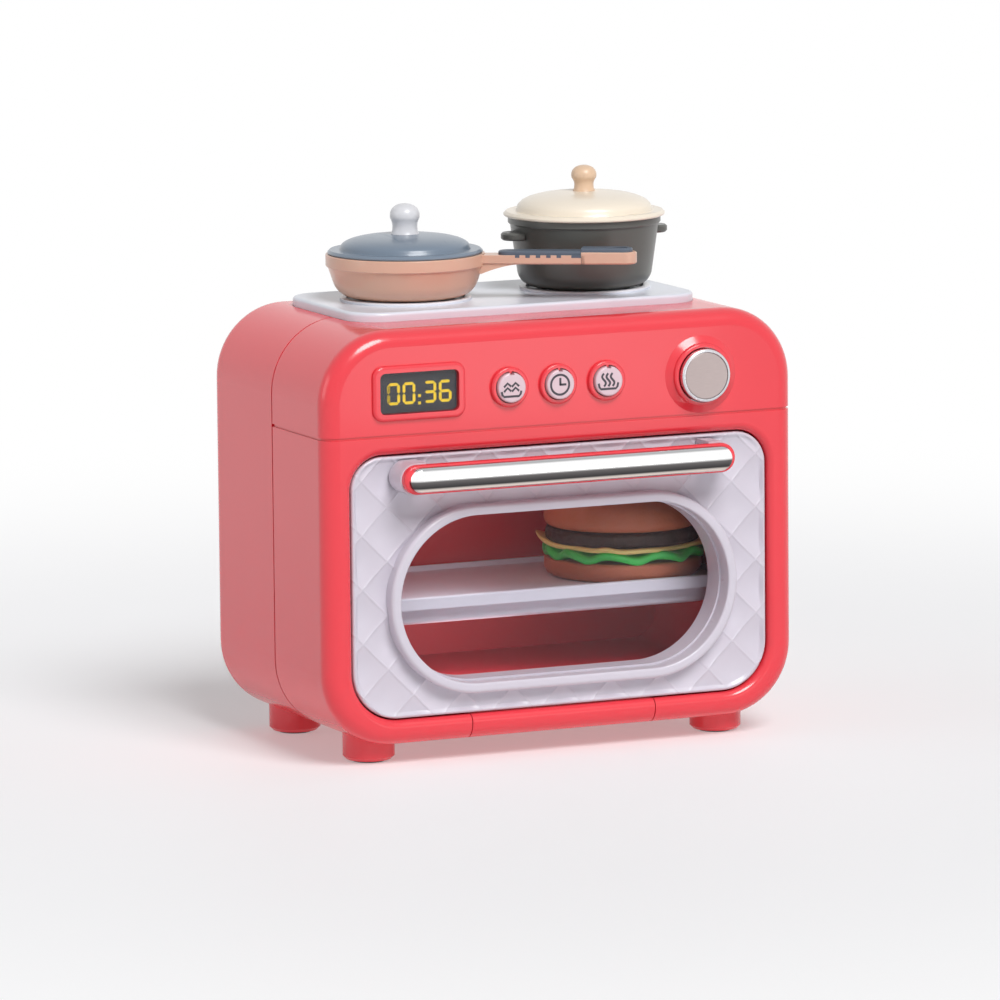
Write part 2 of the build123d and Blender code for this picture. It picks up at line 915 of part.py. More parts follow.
def make_door_front():
    inner_face = door_y + door_skin
    far = shell_back_y + past
    shell = slab(door_outline(), door_y, shell_back_y)
    shell = fillet(front_edges(shell), door_edge_round)
    shell -= slab(door_outline(-door_rim_wall), inner_face, far)
    shell -= quilt_dishes()
    shell -= slab(window_outline(trim_band / 2), door_y - past, far)
    shell += window_trim()
    shell += [rod(x, z, door_screw_post, inner_face - embed, shell_back_y) for x, z in door_screw_places()]
    shell -= [rod(x, z, small_screw_shank, inner_face, far) for x, z in door_screw_places()]
    passage = small_screw_shank + 2 * small_screw_spare
    shell -= [rod(x, handle_z, passage, door_y - past, far) for x in post_xs()]
    return shell


def make_door_inner_frame():
    """Back half of the door. Its window tube reaches forward to the front half's skin."""
    outer = door_outline(-door_inner_inset)
    bore = window_outline(-inner_window_step)
    tube = window_outline(window_tube_wall - inner_window_step)
    seat_wall = window_outline(pane_margin + seat_gap + window_tube_wall)
    room = door_outline(-door_inner_inset - door_rim_wall) - seat_wall
    far = inner_back_y + past
    frame = slab(outer, shell_back_y, inner_back_y)
    frame -= slab(room, shell_back_y - past, inner_back_y - door_skin)
    frame += slab(tube, door_y + door_skin, shell_back_y + embed)
    frame -= slab(bore, door_y, far)
    frame -= slab(window_outline(pane_margin + seat_gap), pane_y, far)
    frame += [rod(x, z, door_screw_collar, shell_back_y, inner_back_y) for x, z in door_screw_places()]
    head = small_screw_head + 2 * screw_spare
    for x, z in door_screw_places():
        frame -= rod(x, z, small_screw_shank + 2 * small_screw_spare, shell_back_y - past, far)
        frame -= rod(x, z, head, inner_back_y - small_screw_head_height, far)
    low = door_bottom + door_inner_inset
    half = hinge_screw_post / 2
    for x in hinge_screw_xs():
        frame += block(x - half, x + half, shell_back_y, inner_back_y, low, low + hinge_screw_bite + past)
        hole = Circle(small_screw_shank / 2)
        frame -= plate(Pos(x, hinge_screw_y()) * hole, low - past, low + hinge_screw_bite + embed)
    return frame


def make_door_screws():
    near = inner_back_y - small_screw_head_height
    length = near - door_y - door_skin - embed
    return [small_screw(near, x, z, length) for x, z in door_screw_places()]


def make_door_window():
    return slab(window_outline(pane_margin), pane_y, pane_y + pane_thickness)


def hinge_screw_xs():
    return [side * hinge_screw_spacing / 2 for side in (-1, 1)]


def hinge_screw_y():
    return (shell_back_y + hinge_y + knuckle_back) / 2


def make_hinge_knuckle():
    half = knuckle_length / 2
    shut = front_y - hinge_y
    low = casing_bottom - hinge_z
    reach = sqrt(shut ** 2 + low ** 2)
    tab_top = door_bottom + door_inner_inset - hinge_z
    tab_low = tab_top - knuckle_tab
    visible_top = ledge_top - hinge_z
    bar = block(-half, half, shut, reach, low, visible_top)
    bar = fillet([e for e in front_edges(bar).filter_by(Axis.X) if e.center().Z > 0], bezel_round)
    bar = fillet([e for e in front_edges(bar).filter_by(Axis.X) if e.center().Z < 0], front_edge_round)
    barrel = bar & (Rot(0, 90, 0) * Cylinder(reach, 2 * half))
    barrel += bar & block(-half, half, shut - past, reach, 0, visible_top + past)
    barrel += block(-half, half, hinge_inset, shell_back_y - hinge_y, tab_low, hinge_drop)
    tab = block(-half, half, shell_back_y - hinge_y, knuckle_back, tab_low, tab_top)
    knuckle = Pos(0, hinge_y, hinge_z) * (barrel + tab)
    knuckle -= hinge_pin_solid(pin_clearance)
    bottom = hinge_z + tab_low
    for x in hinge_screw_xs():
        place = Pos(x, hinge_screw_y())
        shank = place * Circle(small_screw_shank / 2 + small_screw_spare)
        knuckle -= plate(shank, bottom - past, bottom + knuckle_tab + past)
        head = place * Circle(small_screw_head / 2 + screw_spare)
        knuckle -= plate(head, bottom - past, bottom + small_screw_head_height)
    return knuckle


def make_hinge_screws():
    screws = []
    low = door_bottom + door_inner_inset - knuckle_tab
    for x in hinge_screw_xs():
        place = Pos(x, hinge_screw_y())
        head = plate(place * Circle(small_screw_head / 2), low, low + small_screw_head_height)
        head += plate(place * Circle(small_screw_shank / 2), low, low + knuckle_tab + hinge_screw_bite)
        socket = place * RegularPolygon(small_screw_shank / 2, 6)
        screws.append(head - plate(socket, low - past, low + small_screw_head_height / 2))
    return screws


# Handle

def handle_outline(grow=0.0):
    return Pos(handle_x, handle_z) * SlotOverall(handle_length + 2 * grow, handle_height + 2 * grow)


def make_handle_posts():
    near = door_y - post_reach
    ends = slab(handle_outline(post_grow), near, door_y)
    inner = handle_length / 2 - post_length
    posts = []
    for side, x in zip((-1, 1), post_xs()):
        x0 = handle_x + min(side * inner, side * handle_length)
        x1 = handle_x + max(side * inner, side * handle_length)
        post = ends & block(x0, x1, near - past, door_y + past, 0, casing_top)
        post -= rod(x, handle_z, small_screw_shank, door_y - small_screw_length, door_y + past)
        posts.append(post)
    return posts


def make_handle_backing():
    near = door_y - post_reach - backing_thickness
    strip = slab(handle_outline(), near, door_y - post_reach)
    strip = fillet(front_edges(strip), backing_round)
    return strip - slab(bar_outline(seat_gap / 2), near - past, bar_back_y())


def bar_outline(grow=0.0):
    return Pos(handle_x, handle_z) * SlotOverall(bar_length + 2 * grow, bar_height + 2 * grow)


def bar_back_y():
    return door_y - handle_reach + bar_depth


def make_handle_bar():
    bar = slab(bar_outline(), door_y - handle_reach, bar_back_y())
    return fillet(front_edges(bar), bar_round)


def make_handle_screws():
    return [small_screw(door_y + door_skin, x, handle_z) for x in post_xs()]


# Control panel pieces

def lens_front_y():
    return front_y - display_frame_proud + display_lens_set_back


def card_front_y():
    return lens_front_y() + display_lens_thickness + digit_relief


def card_back_y():
    return card_front_y() + display_card_thickness


def display_face():
    return Pos(display_x, display_z) * RectangleRounded(display_width - 2 * seat_gap,
                                                       display_height - 2 * seat_gap,
                                                       display_corner - seat_gap)


def make_display_lens():
    return slab(display_face(), lens_front_y(), card_front_y() - digit_relief)


def make_display_card():
    return slab(display_face(), card_front_y(), card_back_y())


def digit_sketch(lit):
    """One seven-part digit about its middle. The letters in lit name its parts a to g."""
    half_w = (digit_width - digit_stroke) / 2
    half_h = (digit_height - digit_stroke) / 2
    bars = {"a": (0, half_h), "g": (0, 0), "d": (0, -half_h)}
    uprights = {"b": (half_w, half_h / 2), "c": (half_w, -half_h / 2),
                "e": (-half_w, -half_h / 2), "f": (-half_w, half_h / 2)}
    bar_size = digit_width - 2 * digit_stroke - 2 * digit_joint
    upright_size = half_h - 2 * digit_joint
    part = Sketch()
    for name in lit:
        if name in bars:
            part += Pos(*bars[name]) * Rectangle(bar_size, digit_stroke)
        else:
            part += Pos(*uprights[name]) * Rectangle(digit_stroke, upright_size)
    return part


def make_display_digits():
    """A clock reading of two noughts, a colon, a three and a six."""
    readings = {-digit_first: "abcdef", -digit_second: "abcdef", digit_second: "abcdg", digit_first: "acdefg"}
    solids = []
    near = card_front_y() - digit_relief
    for step, lit in readings.items():
        place = Pos(display_x + digit_shift + step * digit_pitch, display_z)
        solids += slab(place * digit_sketch(lit), near, near + digit_relief).solids()
    for side in (-1, 1):
        place = Pos(display_x + digit_shift, display_z + side * digit_height / 5)
        dot = place * Rectangle(digit_stroke, digit_stroke)
        solids += slab(dot, near, near + digit_relief).solids()
    return solids


def stem_back_y(travel):
    return board_y - pad_base - pad_dome_height - travel - contact_gap


def make_button(x):
    near = front_y - button_proud
    inner_wall = front_y + casing_wall + seat_gap
    cap = rod(x, button_z, button_diameter, near, inner_wall + button_flange_thickness)
    cap = fillet(front_edges(cap), button_round)
    slot_bottom = button_z + button_diameter / 2 - button_key_depth
    half = button_key_width / 2 + move_gap
    cap -= block(x - half, x + half, near - past, inner_wall, slot_bottom, button_z + button_diameter)
    flange = button_diameter + 2 * (move_gap + button_flange_band)
    cap += rod(x, button_z, flange, inner_wall, inner_wall + button_flange_thickness)
    return cap + rod(x, button_z, button_diameter / 2, inner_wall, stem_back_y(button_travel))


def make_start_button():
    near = front_y - start_proud
    inner_wall = front_y + casing_wall + seat_gap
    far = inner_wall + start_flange_thickness
    cap = rod(start_x, start_z, start_diameter, near, far)
    cap = fillet(front_edges(cap), start_round)
    cap -= rod(start_x, start_z, start_disc_diameter, near - past, near + start_disc_thickness)
    flange = start_diameter + 2 * (move_gap + start_flange_band)
    cap += rod(start_x, start_z, flange, inner_wall, far)
    return cap + rod(start_x, start_z, start_stem_diameter, inner_wall, stem_back_y(start_travel))


def make_start_button_disc():
    near = front_y - start_proud
    return rod(start_x, start_z, start_disc_diameter, near, near + start_disc_thickness)


def make_button_pad():
    places = [(x, button_z) for x in button_xs()] + [(start_x, start_z)]
    left = places[0][0] - pad_margin
    right = places[-1][0] + pad_margin
    face = Pos((left + right) / 2, button_z) * RectangleRounded(right - left, pad_height, board_corner)
    pad = slab(face, board_y - pad_base, board_y)
    for x, z in places:
        blister = rod(x, z, pad_dome_diameter, board_y - pad_base - pad_dome_height, board_y - pad_base / 2)
        pad += fillet(front_edges(blister), button_round)
    return pad


def make_control_board():
    face = Pos(0, board_z) * RectangleRounded(board_width, board_height, board_corner)
    back = board_y + board_thickness
    passage = small_screw_shank + 2 * screw_spare
    holes = [rod(x, z, passage, board_y - past, back + past) for x, z in board_post_places()]
    return slab(face, board_y, back) - holes


def make_board_parts():
    """Chip, capacitor and three wire headers on the back of the board."""
    back = board_y + board_thickness
    chip = rod(chip_x, board_z, chip_diameter, back, back + chip_height)
    chip = fillet(back_edges(chip), chip_height / 2)
    can = rod(capacitor_x, board_z, capacitor_diameter, back, back + capacitor_height)
    middle = board_z - header_drop
    low = middle - header_width / 2
    high = middle + header_width / 2
    headers = [block(x, x + header_length, back, back + header_height, low, high) for x in header_xs]
    return [chip, can] + headers


def make_board_screws():
    near = board_y + board_thickness
    return [small_screw(near, x, z) for x, z in board_post_places()]


# Power and sound

def bay_front_y():
    return back_y - cover_thickness - bay_depth - bay_wall


def cover_screw_x():
    return bay_x + bay_width / 2 + bay_screw_zone / 2 + bay_wall / 2


def make_battery_box():
    size_x = bay_width + 2 * bay_wall + bay_screw_zone
    size_z = bay_height + 2 * bay_wall
    face = Pos(bay_x + bay_screw_zone / 2, bay_z) * RectangleRounded(size_x, size_z, cover_corner)
    near = bay_front_y()
    far = back_y - cover_thickness
    box = slab(face, near, far)
    box -= slab(Pos(bay_x, bay_z) * Rectangle(bay_width, bay_height), near + bay_wall, far + past)
    return box - rod(cover_screw_x(), bay_z, small_screw_shank, far - small_screw_length, far + past)


def cell_rows():
    return [bay_z - bay_height / 4, bay_z + bay_height / 4]


def cell_y():
    return bay_front_y() + bay_wall + cell_diameter / 2 + seat_gap


def make_batteries():
    """Two cells that lie side by side and point opposite ways."""
    cells = []
    for turn, z in zip((0, 180), cell_rows()):
        can = Cylinder(cell_diameter / 2, cell_length)
        can = fillet(can.edges(), cell_round)
        can += Pos(0, 0, cell_length / 2) * Cylinder(cell_nub_diameter / 2, 2 * cell_nub_length)
        cells.append(Pos(bay_x, cell_y(), z) * Rot(0, 90 + turn, 0) * can)
    return cells


def make_battery_contacts():
    """Metal tabs at both ends of each cell, with a coned spring at the flat end."""
    tabs = []
    inner = bay_width / 2
    for turn, z in zip((1, -1), cell_rows()):
        for side in (-1, 1):
            x_wall = bay_x + side * inner
            x_face = x_wall - side * contact_thickness
            half = contact_width / 2
            tab = block(min(x_wall, x_face), max(x_wall, x_face), cell_y() - half, cell_y() + half,
                        z - half, z + half)
            nub = cell_nub_length if side == turn else 0
            room = inner - contact_thickness - cell_length / 2 - nub
            cone = Cone(spring_foot_radius, spring_tip_radius, room)
            middle = x_face - side * room / 2
            tabs.append(tab + Pos(middle, cell_y(), z) * Rot(0, -side * 90, 0) * cone)
    return tabs


def make_battery_cover():
    near = back_y - cover_thickness
    cover = slab(cover_outline(), near, back_y)
    first = bay_x - (cover_rib_count - 1) / 2 * cover_rib_pitch
    far = back_y + past
    for step in range(cover_rib_count):
        place = Pos(first + cover_rib_pitch * step, bay_z)
        groove = place * SlotOverall(bay_height / 2, cover_rib_width, rotation=90)
        cover -= slab(groove, back_y - cover_rib_depth, far)
    x = cover_screw_x()
    cover -= rod(x, bay_z, small_screw_shank + 2 * small_screw_spare, near - past, far)
    return cover - rod(x, bay_z, small_screw_head + 2 * screw_spare, back_y - small_screw_head_height, far)


def make_battery_cover_screw():
    return small_screw(back_y - small_screw_head_height, cover_screw_x(), bay_z)


def make_speaker():
    """Round speaker: frame and cone towards the back wall, magnet towards the front."""
    far = back_y - casing_wall
    cone = far - speaker_frame_depth / 2
    frame = rod(speaker_x, speaker_z, speaker_diameter, far - speaker_frame_depth, far)
    frame -= rod(speaker_x, speaker_z, speaker_diameter - 2 * speaker_frame_band, cone, far + past)
    magnet = speaker_diameter * speaker_magnet_share
    return frame + rod(speaker_x, speaker_z, magnet, far - speaker_depth, cone)


# Hob and cookware

def make_hob_plate():
    hob = plate(hob_outline(), hob_bottom, hob_top)
    hob = fillet(top_edges(hob), hob_edge_round)
    for x in (pan_x, pot_x):
        for diameter in burner_rings:
            ring = Circle(diameter / 2) - Circle(diameter / 2 - burner_ring_band)
            hob += plate(Pos(x, hob_y) * ring, hob_top - embed, pan_rest)
    return hob


def vessel(rim_diameter, base_diameter, height, base_round, wall, band_height, band_proud):
    """Round open vessel that stands on Z = 0, with a band about its rim."""
    side = rim_diameter / 2 - band_proud
    base = base_diameter / 2
    rim = height - band_height
    outer = turned(Polyline((0, 0), (base, 0), (side, rim), (side + band_proud, rim),
                            (side + band_proud, height), (0, height), close=True))
    outer = fillet(bottom_edges(outer), base_round)
    inner = turned(Polyline((0, wall), (base - wall, wall), (side - wall, rim), (side - wall, height + past),
                            (0, height + past), close=True))
    inner = fillet(bottom_edges(inner), base_round - wall / 2)
    return outer - inner


def dome(radius, low, high, fullness=1.0):
    """Half outline of a dome from the rim at height low to the axis at height high.

    A fullness of one gives a quarter ellipse and less gives squarer shoulders.
    """
    turns = [radians(90 * step / dome_steps) for step in range(dome_steps + 1)]
    points = [(radius * cos(turn) ** fullness, low + (high - low) * sin(turn) ** fullness)
              for turn in turns[1:-1]]
    points = [(radius, low)] + points + [(0, high)]
    return Spline(*points, tangents=[(0, 1), (-1, 0)])


def domed_lid(diameter, rise, wall, edge, spigot_diameter):
    """Thin round lid whose rim rests on Z = 0, with a short spigot below it."""
    radius = diameter / 2
    shoulder = radius * lid_shoulder_share
    inside = min(shoulder, spigot_diameter / 2) - wall
    bevel = edge / 2
    rim = Polyline((0, 0), (radius, 0), (radius, edge - bevel), (radius - bevel, edge), (shoulder, edge))
    outer = turned(rim + dome(shoulder, edge, rise, lid_fullness) + Line((0, rise), (0, 0)))
    vault = dome(inside, edge / 2, rise - wall, lid_fullness)
    hollow = turned(Polyline((0, 0), (inside, 0), (inside, edge / 2)) + vault + Line((0, rise - wall), (0, 0)))
    ring = Circle(spigot_diameter / 2) - Circle(spigot_diameter / 2 - wall)
    spigot = plate(ring, -spigot_drop, edge / 2)
    return outer - hollow + spigot


def knob(diameter, height, waist, seat):
    """Round knob about its waist's diameter, which starts at height seat."""
    radius = diameter / 2
    neck = waist / 2
    crown = height * knob_crown_share
    sides = Polyline((0, 0), (neck * knob_foot_share, 0), (neck, height * knob_neck_share),
                     (radius, height * knob_cap_share), (radius, crown))
    body = turned(sides + dome(radius, crown, height) + Line((0, height), (0, 0)))
    return Pos(0, 0, seat) * body


def handle_turn():
    return Rot(0, 0, pan_handle_angle)


def make_frying_pan():
    pan = vessel(pan_rim_diameter, pan_base_diameter, pan_height, pan_base_round, pan_wall,
                 pan_band_height, pan_band_proud)
    rim = pan_rim_diameter / 2
    start = rim - pan_band_proud
    end = rim + pan_handle_length
    low = pan_handle_low
    top = low + pan_handle_thickness
    half = pan_handle_width / 2
    arm = block(start, end, -half, half, low, top)
    arm += block(end - pan_end_length, end, -half, half, low, top + pan_end_rise)
    arm = fillet(arm.edges().filter_by(Axis.Z).group_by(Axis.X)[-1], half - seat_gap)
    arm += extrude(make_face(Plane.XZ * gusset_outline(start, low)), amount=half - embed, both=True)
    eye = Pos(end - half - pan_inlay_end, 0) * SlotOverall(pan_eye_length, pan_eye_width)
    arm -= inlay_solid(seat_gap / 2)
    arm -= plate(Circle(start - seat_gap), 0, far_out)
    arm -= plate(eye, low - past, far_out)
    return Pos(pan_x, hob_y, pan_rest) * (pan + handle_turn() * arm)


def gusset_outline(start, low):
    """Hollow-curved web under the root of the pan's handle, seen from its side."""
    tip = start + pan_gusset_length
    bend = (start + pan_gusset_bend * pan_gusset_length, low - pan_gusset_bend * pan_gusset_drop)
    curve = ThreePointArc((start, low - pan_gusset_drop), bend, (tip, low))
    return curve + Polyline((tip, low), (tip, low + past), (start, low + past), (start, low - pan_gusset_drop))


def inlay_solid(grow=0.0):
    """Strip on top of the pan's handle, higher at its end, with teeth at both sides."""
    rim = pan_rim_diameter / 2
    end = rim + pan_handle_length
    step = end - pan_end_length
    x0 = rim + pan_inlay_start
    x1 = end - pan_inlay_end
    top = pan_handle_low + pan_handle_thickness
    floor = top - pan_inlay_bed
    width = pan_inlay_width + 2 * grow
    outline = Pos((x0 + x1) / 2, 0) * SlotOverall(x1 - x0 + 2 * grow, width)
    strip = plate(outline, floor, top + pan_inlay_proud)
    high = plate(outline, floor, top + pan_end_rise + pan_inlay_proud)
    strip += high & block(step, end + past, -width, width, floor, far_out)
    low = top - pan_tooth_depth
    for tooth in range(pan_inlay_teeth):
        x = rim + pan_first_tooth + tooth * pan_tooth_pitch
        strip += tooth_block(x, pan_tooth_width + 2 * grow, low, top)
    strip += tooth_block(step - pan_last_tooth_width / 2, pan_last_tooth_width + 2 * grow, low, top)
    eye = Pos(end - pan_handle_width / 2 - pan_inlay_end, 0) * SlotOverall(pan_eye_length, pan_eye_width)
    return strip - plate(eye, low - past, far_out)


def tooth_block(x, width, low, high):
    half = pan_handle_width / 2
    return block(x - width / 2, x + width / 2, -half, half, low, high)


def make_pan_handle_inlay():
    return Pos(pan_x, hob_y, pan_rest) * handle_turn() * inlay_solid()


def make_pan_lid():
    spigot = pan_rim_diameter - 2 * (pan_band_proud + pan_wall + move_gap)
    lid = domed_lid(pan_lid_diameter, pan_lid_rise, pan_lid_wall, pan_lid_edge, spigot)
    return Pos(pan_x, hob_y, pan_rest + pan_height) * lid


def make_pan_lid_knob():
    top = pan_rest + pan_height + pan_lid_rise
    return Pos(pan_x, hob_y, 0) * knob(pan_knob_diameter, pan_knob_height, pan_knob_waist, top)


def make_pot():
    pot = vessel(pot_rim_diameter, pot_base_diameter, pot_height, pot_base_round, pot_wall,
                 pot_band_height, pot_band_proud)
    rim = pot_rim_diameter / 2
    top = pot_height - pot_ear_drop
    ear = SlotOverall(2 * (rim + pot_ear_reach), pot_ear_width)
    ears = plate(ear, top - pot_ear_thickness, top)
    ears = fillet(top_edges(ears), pot_ear_round)
    ears -= plate(Circle(rim - pot_band_proud - pot_wall / 2), 0, pot_height)
    return Pos(pot_x, hob_y, pan_rest) * (pot + ears)


def make_pot_lid():
    spigot = pot_rim_diameter - 2 * (pot_band_proud + pot_wall + move_gap)
    lid = domed_lid(pot_lid_diameter, pot_lid_rise, pot_lid_wall, pot_lid_edge, spigot)
    return Pos(pot_x, hob_y, pan_rest + pot_height) * lid


def make_pot_lid_knob():
    top = pan_rest + pot_height + pot_lid_rise
    return Pos(pot_x, hob_y, 0) * knob(pot_knob_diameter, pot_knob_height, pot_knob_waist, top)


# Toy burger: each layer's lowest height follows from the layer below

bun_bottom_z = shelf_top - shelf_recess
lettuce_z = bun_bottom_z + bun_bottom_height + layer_gap
cheese_z = lettuce_z + lettuce_thickness + layer_gap
patty_z = cheese_z + cheese_thickness + layer_gap
bun_top_z = patty_z + patty_thickness + layer_gap


def on_shelf(solid, z):
    return Pos(burger_x, burger_y, z) * solid


def make_bun_bottom():
    bun = plate(Circle(bun_diameter / 2), 0, bun_bottom_height)
    bun = fillet(bottom_edges(bun), bun_bottom_round)
    return on_shelf(fillet(top_edges(bun), bun_seam_round), bun_bottom_z)


def make_lettuce():
    """Leaf with a lobed edge."""
    points = []
    steps = lettuce_lobes * 2
    for step in range(steps):
        angle = step * pi * 2 / steps
        radius = lettuce_diameter / 2 - (lettuce_lobe_depth if step % 2 else 0)
        points.append((radius * cos(angle), radius * sin(angle)))
    leaf = plate(make_face(Spline(*points, periodic=True)), 0, lettuce_thickness)
    return on_shelf(fillet(top_edges(leaf) + bottom_edges(leaf), lettuce_round), lettuce_z)


def make_cheese():
    outline = Rot(0, 0, cheese_turn) * RectangleRounded(cheese_side, cheese_side, cheese_corner)
    sheet = plate(outline, 0, cheese_thickness)
    return on_shelf(fillet(top_edges(sheet), cheese_round), cheese_z)


def make_patty():
    disc = plate(Circle(patty_diameter / 2), 0, patty_thickness)
    return on_shelf(fillet(top_edges(disc) + bottom_edges(disc), patty_round), patty_z)


def make_bun_top():
    radius = bun_diameter / 2
    base = Polyline((0, 0), (radius - bun_edge, 0), (radius, bun_edge))
    crown = dome(radius, bun_edge, bun_top_height)
    return on_shelf(turned(base + crown + Line((0, bun_top_height), (0, 0))), bun_top_z)


# Every node: its name and its solid or list of solids
button_names = ("button_grill", "button_timer", "button_steam")
nodes = {
    "front_casing": make_front_casing(),
    "rear_casing": make_rear_casing(),
    "casing_screws": make_casing_screws(),
    "feet": make_feet(),
    "foot_pads": make_foot_pads(),
    "oven_liner": make_oven_liner(),
    "lamp_lens": make_lamp_lens(),
    "lamp_led": make_lamp_led(),
    "lamp_board": make_lamp_board(),
    "shelf": make_shelf(),
    "door_front": make_door_front(),
    "door_inner_frame": make_door_inner_frame(),
    "door_window": make_door_window(),
    "door_screws": make_door_screws(),
    "hinge_knuckle": make_hinge_knuckle(),
    "hinge_screws": make_hinge_screws(),
    "hinge_pin": hinge_pin_solid(),
    "handle_posts": make_handle_posts(),
    "handle_backing": make_handle_backing(),
    "handle_bar": make_handle_bar(),
    "handle_screws": make_handle_screws(),
    "display_lens": make_display_lens(),
    "display_card": make_display_card(),
    "display_digits": make_display_digits(),
    "start_button": make_start_button(),
    "start_button_disc": make_start_button_disc(),
    "button_pad": make_button_pad(),
    "control_board": make_control_board(),
    "board_parts": make_board_parts(),
    "board_screws": make_board_screws(),
    "battery_box": make_battery_box(),
    "batteries": make_batteries(),
    "battery_contacts": make_battery_contacts(),
    "battery_cover": make_battery_cover(),
    "battery_cover_screw": make_battery_cover_screw(),
    "speaker": make_speaker(),
    "hob_plate": make_hob_plate(),
    "frying_pan": make_frying_pan(),
    "pan_handle_inlay": make_pan_handle_inlay(),
    "pan_lid": make_pan_lid(),
    "pan_lid_knob": make_pan_lid_knob(),
    "pot": make_pot(),
    "pot_lid": make_pot_lid(),
    "pot_lid_knob": make_pot_lid_knob(),
    "bun_bottom": make_bun_bottom(),
    "lettuce": make_lettuce(),
    "cheese": make_cheese(),
    "patty": make_patty(),
    "bun_top": make_bun_top(),
}
for button_name, button_x in zip(button_names, button_xs()):
    nodes[button_name] = make_button(button_x)

for node_name, made in nodes.items():
    solids = list(made) if isinstance(made, list) else made.solids()
    solids = [solid for entry in solids for solid in entry.solids()]
    export_step(Compound(solids) if len(solids) > 1 else solids[0], f"parts/{node_name}.step")
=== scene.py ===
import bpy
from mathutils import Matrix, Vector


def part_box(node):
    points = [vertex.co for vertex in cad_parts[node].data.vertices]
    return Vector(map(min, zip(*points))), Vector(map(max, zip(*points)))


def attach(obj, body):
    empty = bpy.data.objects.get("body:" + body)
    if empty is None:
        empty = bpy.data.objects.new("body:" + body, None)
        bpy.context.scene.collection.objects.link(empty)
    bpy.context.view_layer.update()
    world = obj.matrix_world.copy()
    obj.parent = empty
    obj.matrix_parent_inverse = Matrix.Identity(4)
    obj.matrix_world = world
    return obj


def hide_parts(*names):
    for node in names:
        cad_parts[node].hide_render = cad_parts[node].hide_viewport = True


bl_info = {
    "name": "Toy Microwave Oven",
    "version": (1, 0, 0),
    "blender": (4, 5, 0),
    "location": "3D View > Sidebar > Toy Oven",
    "description": "Dresses a play microwave oven with its cookware and a toy burger",
    "category": "Object",
}

from math import atan2, ceil, copysign, cos, degrees, dist, exp, floor, pi, radians, sin, tan

import bmesh
import bpy
from bpy.props import FloatProperty, FloatVectorProperty, IntProperty, PointerProperty
from mathutils import Matrix, Vector, noise

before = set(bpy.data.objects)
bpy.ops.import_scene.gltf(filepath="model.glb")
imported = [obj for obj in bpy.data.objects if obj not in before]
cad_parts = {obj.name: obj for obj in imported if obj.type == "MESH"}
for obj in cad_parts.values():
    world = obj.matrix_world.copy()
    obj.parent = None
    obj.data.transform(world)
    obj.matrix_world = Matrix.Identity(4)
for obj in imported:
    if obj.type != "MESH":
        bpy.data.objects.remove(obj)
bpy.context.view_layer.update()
MM = 0.001


# Colours are given as they look on a screen and kept as the shader wants them.

def colour(red, green, blue):
    return tuple((c / 255 / 12.92) if c <= 10 else ((c / 255 + 0.055) / 1.055) ** 2.4
                 for c in (red, green, blue))


def colour_prop(name, description, default):
    return FloatVectorProperty(name=name, description=description, subtype="COLOR", size=3,
                               min=0.0, max=1.0, default=colour(*default))


def length_prop(name, description, millimetres):
    return FloatProperty(name=name, description=description, subtype="DISTANCE", unit="LENGTH",
                         min=0.0, default=millimetres * MM)


def share_prop(name, description, default):
    return FloatProperty(name=name, description=description, subtype="FACTOR", min=0.0, max=1.0,
                         default=default)


# Shader helpers

def wire(source, target):
    target.id_data.links.new(source, target)


def node(tree, kind, **settings):
    made = tree.nodes.new(kind)
    for key, value in settings.items():
        setattr(made, key, value)
    return made


def arrange(tree):
    """Lays the nodes out in columns, each to the left of all that it feeds."""
    column = {made.name: 0 for made in tree.nodes}
    for _ in tree.nodes:
        for link in tree.links:
            feeds = column[link.to_node.name]
            column[link.from_node.name] = max(column[link.from_node.name], feeds + 1)
    filled = dict.fromkeys(column.values(), 0)
    for made in tree.nodes:
        place = column[made.name]
        made.location = (-200 * place, -300 * filled[place])
        filled[place] += 1


def node_of(tree, kind):
    return next(n for n in tree.nodes if n.type == kind)


def set_inputs(made, **values):
    """Sets inputs of a node to constants. Their names have _ for a space."""
    for name, value in values.items():
        made.inputs[name.replace("_", " ")].default_value = value


def feed(socket, value):
    """Sets a socket to a constant, or wires another socket into it."""
    if isinstance(value, (int, float, tuple)):
        socket.default_value = value
    else:
        wire(value, socket)


def new_group(name, inputs, *outputs):
    """Empty node group with its sockets. Inputs are given with their defaults."""
    tree = bpy.data.node_groups.new(name, "ShaderNodeTree")
    kinds = ("NodeSocketFloat", "NodeSocketColor")
    for label, value in inputs.items():
        kind = kinds[isinstance(value, tuple)]
        tree.interface.new_socket(label, in_out="INPUT", socket_type=kind).default_value = value
    for label in outputs:
        tree.interface.new_socket(label, in_out="OUTPUT", socket_type=kinds[label == "Colour"])
    return tree, node(tree, "NodeGroupInput"), node(tree, "NodeGroupOutput")


def object_place(tree, stretch=None):
    """The piece's own coordinates in metres, or those coordinates stretched."""
    place = node(tree, "ShaderNodeTexCoord")
    if stretch is None:
        return place.outputs["Object"]
    squeeze = node(tree, "ShaderNodeMapping")
    set_inputs(squeeze, Scale=stretch)
    wire(place.outputs["Object"], squeeze.inputs["Vector"])
    return squeeze.outputs["Vector"]


def object_axes(tree):
    """The piece's own coordinates, split into X, Y and Z."""
    axes = node(tree, "ShaderNodeSeparateXYZ")
    wire(object_place(tree), axes.inputs["Vector"])
    return axes.outputs


def noise_at(tree, scale, detail=3.0, roughness=0.5, stretch=None, warp=0.0):
    """Noise over the piece's own coordinates."""
    made = node(tree, "ShaderNodeTexNoise")
    set_inputs(made, Detail=detail, Roughness=roughness, Distortion=warp)
    feed(made.inputs["Scale"], scale)
    wire(object_place(tree, stretch), made.inputs["Vector"])
    return made.outputs["Fac"]


